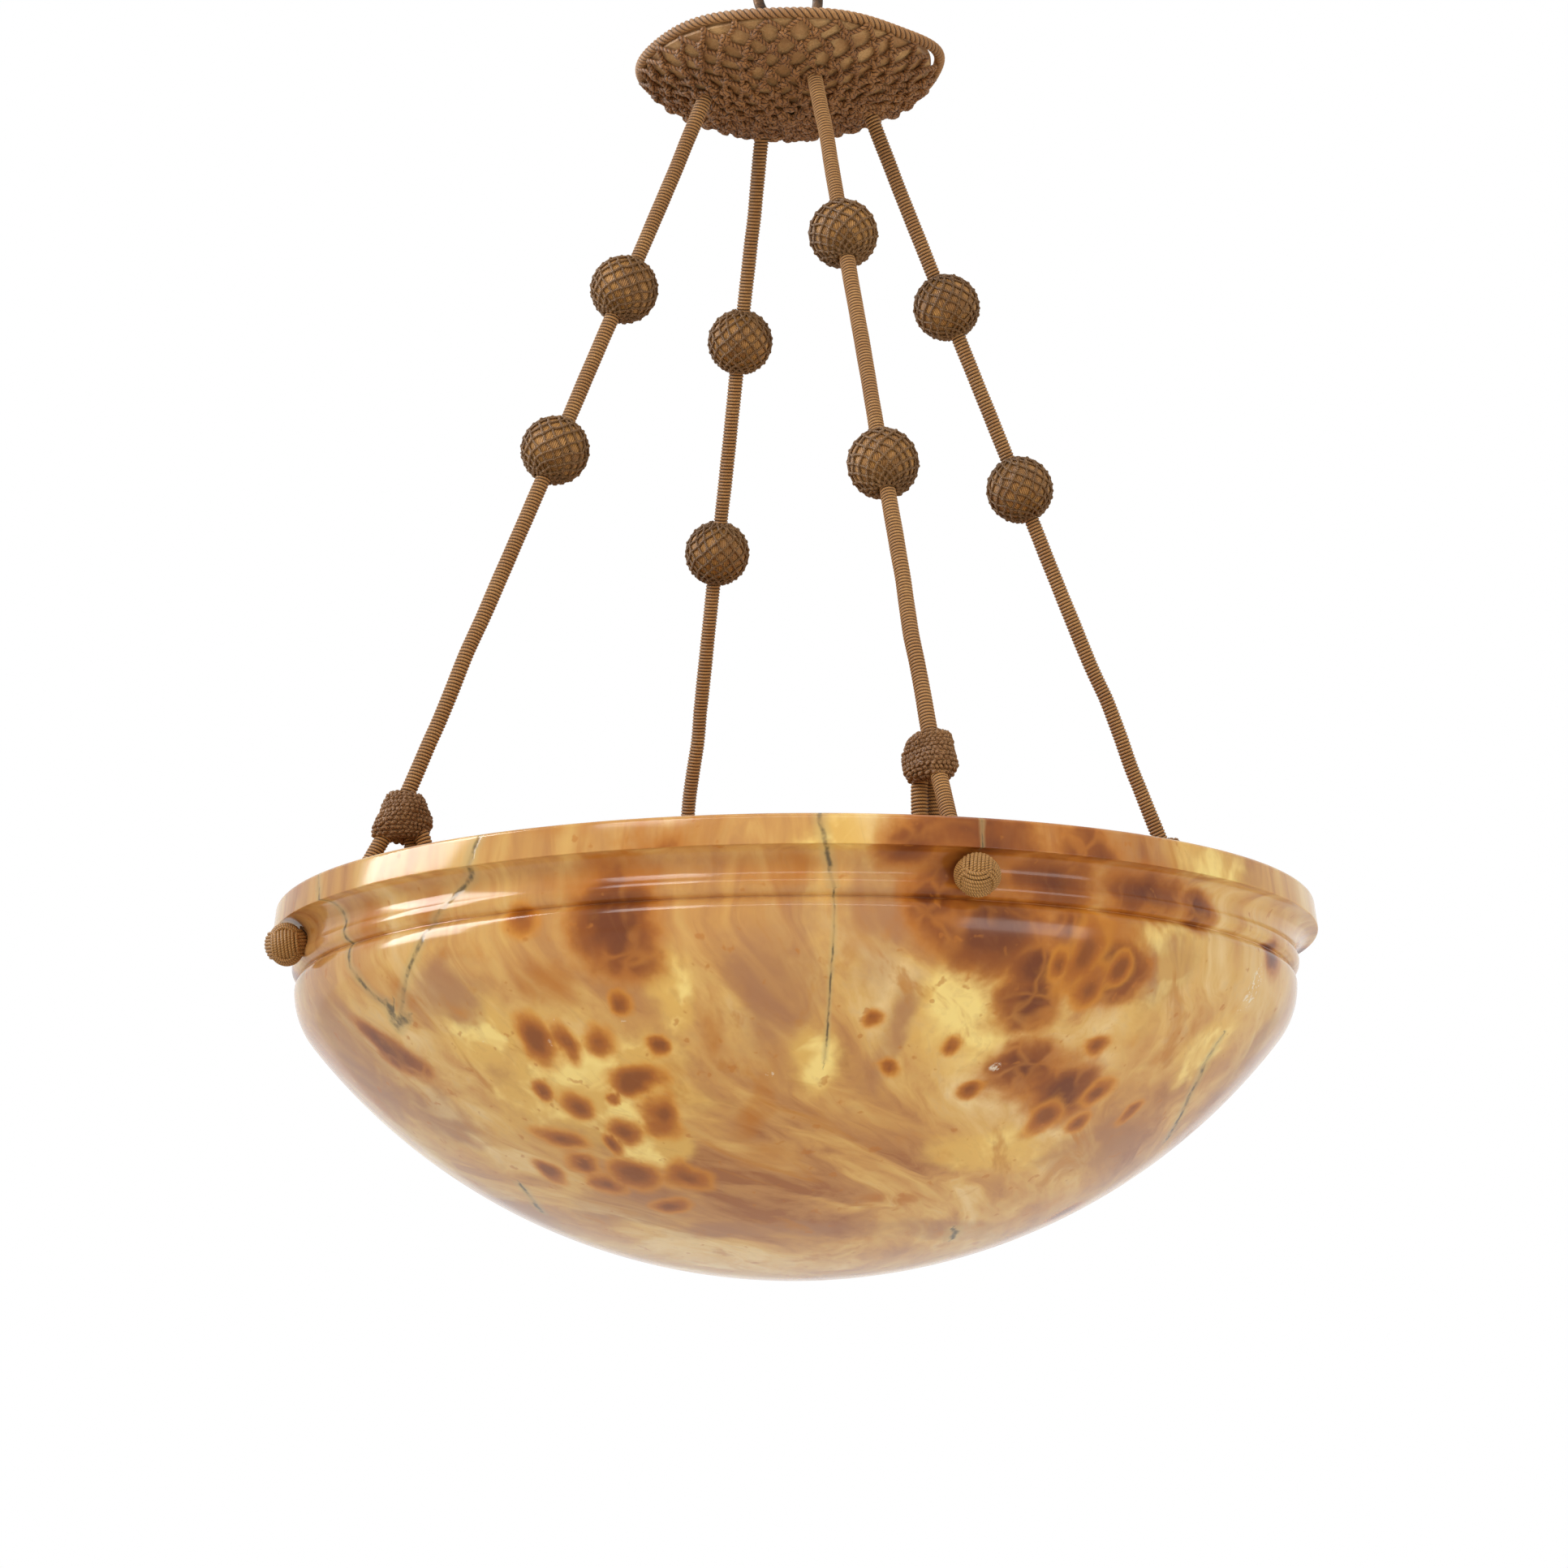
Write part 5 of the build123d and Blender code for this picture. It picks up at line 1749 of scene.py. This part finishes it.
# ------------------------------------------------------------------ canopy
@dataclass
class CanopyTrim:
    """The knotted net under the canopy's dish and the thick laid cord round its edge."""

    radius: float = 81.0
    edge_foot_z: float = -62.0
    dome_depth: float = 25.0
    cord: float = 1.5
    knot_ring: float = 2.5
    rim_circle: float = 83.2
    rim_z: float = -58.5
    rim_cord: float = 3.1
    lay: float = 11.4
    rows: tuple[tuple[float, int], ...] = (
        (83.4, 28),
        (75.4, 28),
        (67.2, 28),
        (59.0, 28),
        (50.8, 24),
        (42.6, 24),
        (34.4, 18),
        (26.2, 14),
        (18.0, 10),
        (10.0, 7),
        (3.4, 4),
    )

    def on_dome(self, radii: np.ndarray, angle: np.ndarray, lift: float) -> np.ndarray:
        """Points a lift off the dish's underside, at radii from its axis."""
        dome = (self.radius**2 + self.dome_depth**2) / (2 * self.dome_depth)
        centre_z = self.edge_foot_z - self.dome_depth + dome
        slope = np.arcsin(np.clip(radii / dome, 0, 1))
        reach = dome + lift
        level = reach * np.sin(slope)
        return np.stack([level * np.cos(angle), level * np.sin(angle), centre_z - reach * np.cos(slope)], -1)

    def clear_of_ropes(self, points: np.ndarray, lines: list[RopeLine]) -> np.ndarray:
        """Push points out of the ropes' ways.

        Args:
            points: Points on the dome.
            lines: The ropes.

        Returns:
            The points, none nearer to a rope than a cord lying against it.
        """
        keep = 4.3 + self.cord + 0.3
        for line in lines:
            across = (points - line.at(points[..., 2])) * [1, 1, 0]
            away = np.linalg.norm(across, axis=-1, keepdims=True)
            points = points + unit(across) * np.maximum(keep - away, 0)
        return points

    def build_net(self, lines: list[RopeLine], material: bpy.types.Material) -> bpy.types.Object:
        """The net: rows of knots on the dome, each knot two crossed loops of cord, and the cords between.

        Args:
            lines: The ropes that pass through it.
            material: The laid cord.

        Returns:
            The net.
        """
        rng = np.random.default_rng(5)
        angles, radii = [], []
        for index, (row_radius, count) in enumerate(self.rows):
            jitter = rng.normal(0, 0.8 / max(row_radius, 8), count)
            angles.append((np.arange(count) + 0.5 * (index % 2)) * TURN / count + jitter)
            radii.append(row_radius + rng.normal(0, 0.7, count))
        starts, ends = [], []
        for index in range(len(self.rows) - 1):
            count = self.rows[index + 1][1]
            outer, inner = angles[index], angles[index + 1]
            offset = 0.5 * ((index + 1) % 2)
            for lean in (-0.5, 0.5):
                target = np.round(outer / TURN * count + lean - offset).astype(int) % count
                finish = outer + (inner[target] - outer + math.pi) % TURN - math.pi
                starts.append(np.stack([radii[index], outer], -1))
                ends.append(np.stack([radii[index + 1][target], finish], -1))
        start, end = np.concatenate(starts)[:, None], np.concatenate(ends)[:, None]
        share = np.linspace(0, 1, 11)[None, :, None]
        path = start + (end - start) * share
        sag = rng.normal(0, 0.02, (len(start), 1)) * np.sin(np.pi * share[..., 0])
        lines_on = self.on_dome(path[..., 0], path[..., 1] + sag, self.cord + 0.1)
        lift = 0.9 * np.sin(np.pi * share) * rng.uniform(0.2, 1.0, (len(start), 1, 1))
        lines_on = self.clear_of_ropes(lines_on - lift * [0, 0, 1], lines)
        away = np.array([0.0, 0.0, -1.0])
        cords = tubes(lines_on, away, 8, twisted_section(self.cord, 2, 5.0, 0.3))
        all_angles, all_radii = np.concatenate(angles[1:]), np.concatenate(radii[1:])
        middles = self.clear_of_ropes(self.on_dome(all_radii, all_angles, self.cord + 1.0), lines)
        outward = unit(middles * [0.4, 0.4, 0] + [0, 0, -60.0])
        knots = [self.knot_loops(middles, outward, rng, lean) for lean in (0.0, 1.1, 2.1)]
        net = Surface.joined([cords, *knots]).to_object("knotted_canopy_net", material)
        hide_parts("canopy_net")
        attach(net, "pendant")
        return net

    def knot_loops(self, middles: np.ndarray, outward: np.ndarray, rng: np.random.Generator, lean: float) -> Surface:
        """One small loop of cord at each knot, stood across the net and turned at random.

        Args:
            middles: The knots' middles.
            outward: The dome's direction at each.
            rng: Source of the turns.
            lean: Angle added to each loop's turn.

        Returns:
            The loops.
        """
        count = len(middles)
        first = unit(np.cross(outward, [0.2, 0.9, 0.1]))
        second = np.cross(outward, first)
        turn = (rng.uniform(0, math.pi, count) + lean)[:, None]
        along = np.cos(turn) * first + np.sin(turn) * second
        tip = unit(outward + 0.5 * rng.normal(0, 1, (count, 3)))
        tip = unit(tip - np.sum(tip * along, axis=1, keepdims=True) * along)
        ring = np.arange(9) * TURN / 9
        size = rng.uniform(0.8, 1.1, (count, 1, 1)) * self.knot_ring
        loops = middles[:, None] + size * (
            np.cos(ring)[None, :, None] * along[:, None] * 1.15 + 0.72 * np.sin(ring)[None, :, None] * tip[:, None])
        return tubes(loops, loops - middles[:, None], 7, twisted_section(self.cord * 0.92, 2, 4.2, 0.25), closed=True)

    def build_rim_cord(self, material: bpy.types.Material) -> bpy.types.Object:
        """The rim's laid cord, slightly wavy, standing off the dish where it has come loose."""
        turn = np.arange(900) * TURN / 900
        loose = np.exp(-(((turn - math.radians(-36) + math.pi) % TURN - math.pi) / 0.36) ** 2)
        radii = self.rim_circle + 0.9 * np.sin(3 * turn + 0.6) + 0.5 * np.sin(7 * turn) + 4.6 * loose
        heights = self.rim_z + 1.1 * np.sin(2 * turn + 0.4) + 0.6 * np.sin(5 * turn + 2) + 1.5 * loose
        path = np.stack([radii * np.cos(turn), radii * np.sin(turn), heights], -1)
        section = twisted_section(self.rim_cord, 3, self.lay, 0.3)
        surface = tubes(path[None], np.array([0.0, 0.0, 1.0]), 20, section, closed=True)
        cord = surface.to_object("laid_canopy_rim_cord", material)
        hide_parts("canopy_rim_cord")
        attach(cord, "pendant")
        return cord


# ------------------------------------------------------------------ hardware from the frame
@dataclass(frozen=True)
class Hardware:
    """The hard pieces that keep the frame's own meshes, and the finish of each."""

    iron: bpy.types.Material
    wood: bpy.types.Material
    sheath: bpy.types.Material
    holder: bpy.types.Material
    cap: bpy.types.Material
    glass: bpy.types.Material

    def dress(self) -> int:
        """Give each piece its finish.

        Returns:
            How many pieces were dressed.
        """
        finishes = {
            "hanging_ring": self.iron,
            "eye_bolt": self.iron,
            "eye_bolt_washer": self.iron,
            "eye_bolt_nut": self.iron,
            "canopy_dish": self.wood,
            "supply_cables": self.sheath,
        }
        for side in Side:
            finishes[side.word + "_lampholder"] = self.holder
            finishes[side.word + "_bulb_cap"] = self.cap
            finishes[side.word + "_bulb_glass"] = self.glass
        for name, material in finishes.items():
            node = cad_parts[name]
            if not node.material_slots:
                node.data.materials.append(material)
            for slot in node.material_slots:
                slot.material = material
        return len(finishes)


# ------------------------------------------------------------------ studio
@dataclass
class Studio:
    """Camera, soft lamps, white surroundings and the pale floor."""

    place: tuple[float, float, float] = (-0.7000, -2.1205, -0.952)
    look_up: float = 12.10
    look_aside: float = -0.142
    roll: float = -0.428
    turn: float = -18.27
    lens: float = 95.87
    sensor: float = 36.0
    floor_z: float = -1.25
    floor_half: float = 5000.0
    ambient: float = 0.52

    def place_camera(self) -> None:
        """Camera at the solved place, turned by its look, its roll and the object's turn."""
        up_angle, aside, roll = (math.radians(a) for a in (self.look_up, self.look_aside, self.roll))
        ahead = Vector(
            (math.sin(aside) * math.cos(up_angle), math.cos(aside) * math.cos(up_angle), math.sin(up_angle)))
        right = Vector((math.cos(aside), -math.sin(aside), 0))
        above = right.cross(ahead)
        rolled = math.cos(roll) * right + math.sin(roll) * above
        top = -math.sin(roll) * right + math.cos(roll) * above
        spin = Matrix.Rotation(math.radians(self.turn), 3, "Z")
        rolled, top, back = spin @ rolled, spin @ top, -(spin @ ahead)
        camera_data = bpy.data.cameras.new("camera")
        camera_data.lens = self.lens
        camera_data.sensor_width = self.sensor
        camera_data.clip_start = 0.05
        camera = bpy.data.objects.new("camera", camera_data)
        axes = Matrix((rolled, top, back)).transposed().to_4x4()
        camera.matrix_world = Matrix.Translation(self.place) @ axes
        bpy.context.scene.collection.objects.link(camera)
        bpy.context.scene.camera = camera

    def place_lamps(self) -> None:
        """Soft lamps: a key at the left, a fill at the right, one from above, and two for highlights.

        The tall window lamp at the far left and the wide strip in front are seen in polished
        surfaces only.
        """
        lamps = (
            ("key_lamp", (-2.3, -1.9, 1.2), 1.2, 1.2, 44.0, True),
            ("fill_lamp", (1.6, -2.6, -0.85), 1.6, 0.7, 17.0, True),
            ("top_lamp", (0.2, -0.4, 2.1), 1.8, 1.8, 14.0, True),
            ("window_lamp", (-2.5, 0.75, 0.85), 1.4, 2.3, 150.0, False),
            ("strip_lamp", (-1.2, -2.9, 1.25), 3.6, 0.4, 26.0, False),
        )
        aim = Vector((0.0, 0.0, -0.5))
        for name, place, width, height, power, lights_all in lamps:
            data = bpy.data.lights.new(name, "AREA")
            data.shape = "RECTANGLE"
            data.size, data.size_y = width, height
            data.energy = power
            lamp = bpy.data.objects.new(name, data)
            lamp.location = place
            lamp.rotation_euler = (aim - Vector(place)).to_track_quat("-Z", "Y").to_euler()
            lamp.visible_camera = False
            lamp.visible_diffuse = lights_all
            lamp.visible_transmission = lights_all
            bpy.context.scene.collection.objects.link(lamp)

    def white_surroundings(self) -> None:
        """White world for the camera, reflections and clear glass, and a plain level elsewhere."""
        world = bpy.data.worlds.new("white_room")
        bpy.context.scene.world = world
        world.use_nodes = True
        tree = world.node_tree
        tree.nodes.clear()
        board = Board(tree)
        path = board.add("LightPath")
        seen = board.maths("MAXIMUM", path.outputs["Is Camera Ray"], path.outputs["Is Glossy Ray"])
        seen = board.maths("MAXIMUM", seen, path.outputs["Is Transmission Ray"])
        level = board.maths("MULTIPLY_ADD", seen, 1.0 - self.ambient, self.ambient)
        light = board.add("Background", {"Color": (1.0, 1.0, 1.0, 1.0), "Strength": level})
        end = board.add("OutputWorld")
        tree.links.new(light.outputs[0], end.inputs[0])

    def lay_floor(self) -> None:
        """Pale floor under the object, which keeps the object's soft shadow."""
        half = self.floor_half
        corners = np.array([[-half, -half, 0], [half, -half, 0], [half, half, 0], [-half, half, 0]])
        corners[:, 2] = self.floor_z / MM
        material, board, shader = start_material("pale_floor")
        path = board.add("LightPath")
        seen = board.maths("MAXIMUM", path.outputs["Is Camera Ray"], path.outputs["Is Glossy Ray"])
        grain = board.noise(board.add("TexCoord").outputs["Object"], 3.0)
        shade = board.blend(grain, linear(238, 237, 235), linear(244, 243, 241))
        board.join(shade, shader, "Base Color")
        shader.inputs["Roughness"].default_value = 0.9
        shader.inputs["Emission Color"].default_value = (1.0, 1.0, 1.0, 1.0)
        board.join(board.maths("MULTIPLY", seen, 0.22), shader, "Emission Strength")
        uvs = np.array([[[0, 0], [1, 0], [1, 1], [0, 1]]], float)
        surface = Surface(corners, np.array([[0, 1, 2, 3]]), uvs, np.zeros((0, 3), int), np.zeros((0, 3, 2)))
        floor = surface.to_object("floor", material)

    def set_up(self) -> None:
        """Camera, lamps, world, floor and the plain view."""
        self.place_camera()
        self.place_lamps()
        self.white_surroundings()
        self.lay_floor()
        bpy.context.scene.view_settings.view_transform = "Standard"


def main() -> None:
    """Build every piece in order and report it."""
    logging.basicConfig(level=logging.INFO, format="%(message)s")
    Studio().set_up()
    groups = Groups(make_winding_group(), make_lay_group(), make_wear_group(), make_flow_group())
    # The third colour of each thread finish is painted shade, laid into the grooves between windings or strands.
    finishes = (
        ThreadFinish("wound_silk", linear(232, 180, 112), linear(156, 104, 54), linear(30, 16, 8), pitch=1.9),
        ThreadFinish("wound_silk_leg", linear(234, 180, 106), linear(160, 106, 52), linear(32, 18, 9), pitch=1.8),
        ThreadFinish(
            "twisted_net_cord", linear(212, 150, 84), linear(116, 72, 36), linear(24, 13, 7),
            strands=2, lay=5.0, yarn=0.8),
        ThreadFinish(
            "laid_rim_cord", linear(214, 162, 100), linear(140, 94, 52), linear(34, 20, 10),
            strands=3, lay=11.4, yarn=0.9),
        ThreadFinish(
            "fine_net_thread", linear(192, 142, 82), linear(98, 65, 33), linear(27, 15, 8),
            strands=2, lay=1.9, yarn=0.5, bump=0.0002),
        ThreadFinish(
            "crochet_cord", linear(218, 162, 98), linear(130, 84, 44), linear(32, 18, 9),
            strands=2, lay=2.4, yarn=0.9, bump=0.0003),
        ThreadFinish(
            "woven_cord_strand", linear(234, 178, 98), linear(150, 100, 46), linear(36, 21, 9),
            strands=2, lay=2.4, yarn=0.7, bump=0.0002),
    )
    rope_silk, leg_silk, net_cord, rim_cord, fine_net, crochet, woven = (finish.build(groups) for finish in finishes)
    yarn = YarnFinish("golden_yarn", linear(206, 148, 72), linear(146, 97, 44), 84).build(groups)
    clouds, threads = stone_markings()
    stone = AlabasterFinish().build(groups)
    bowl = AlabasterBowl(clouds=clouds, threads=threads)
    log.info("%s", bowl.build(stone).name)
    lines = [RopeLine(side) for side in Side]
    heights = {
        Side.FRONT: (359.0, 213.0),
        Side.LEFT: (348.0, 252.0),
        Side.BACK: (356.0, 241.0),
        Side.RIGHT: (356.0, 252.0),
    }
    for line in lines:
        pieces = [
            WoundRope(line).build(rope_silk),
            ToggleLeg(line, bowl).build(leg_silk),
            LampCords(line.side).build(leg_silk),
            CrochetCollar(line.side).build(crochet),
            WovenKnob(line.side).build(woven),
        ]
        for place, height in zip(("upper", "lower"), heights[line.side]):
            ball = NettedBall(line, place, height)
            pieces += [ball.build_ball(yarn), ball.build_net(fine_net)]
        for piece in pieces:
            log.info("%s", piece.name)
    trim = CanopyTrim()
    for piece in (trim.build_net(lines, net_cord), trim.build_rim_cord(rim_cord), StopKnots().build(lines, woven)):
        log.info("%s", piece.name)
    hardware = Hardware(
        IronFinish().build(groups),
        PlainFinish("canopy_tan_wood", linear(212, 168, 110), linear(172, 126, 76), 0.62, bump=0.0004).build(groups),
        PlainFinish("cable_sheath", linear(96, 78, 60), linear(62, 50, 40), 0.6).build(groups),
        PlainFinish("black_holder", linear(40, 36, 34), linear(24, 22, 21), 0.35).build(groups),
        ScrewCapFinish().build(groups),
        FrostedGlassFinish().build(groups),
    )
    log.info("%d pieces keep the frame's mesh", hardware.dress())


if __name__ == "__main__":
    main()
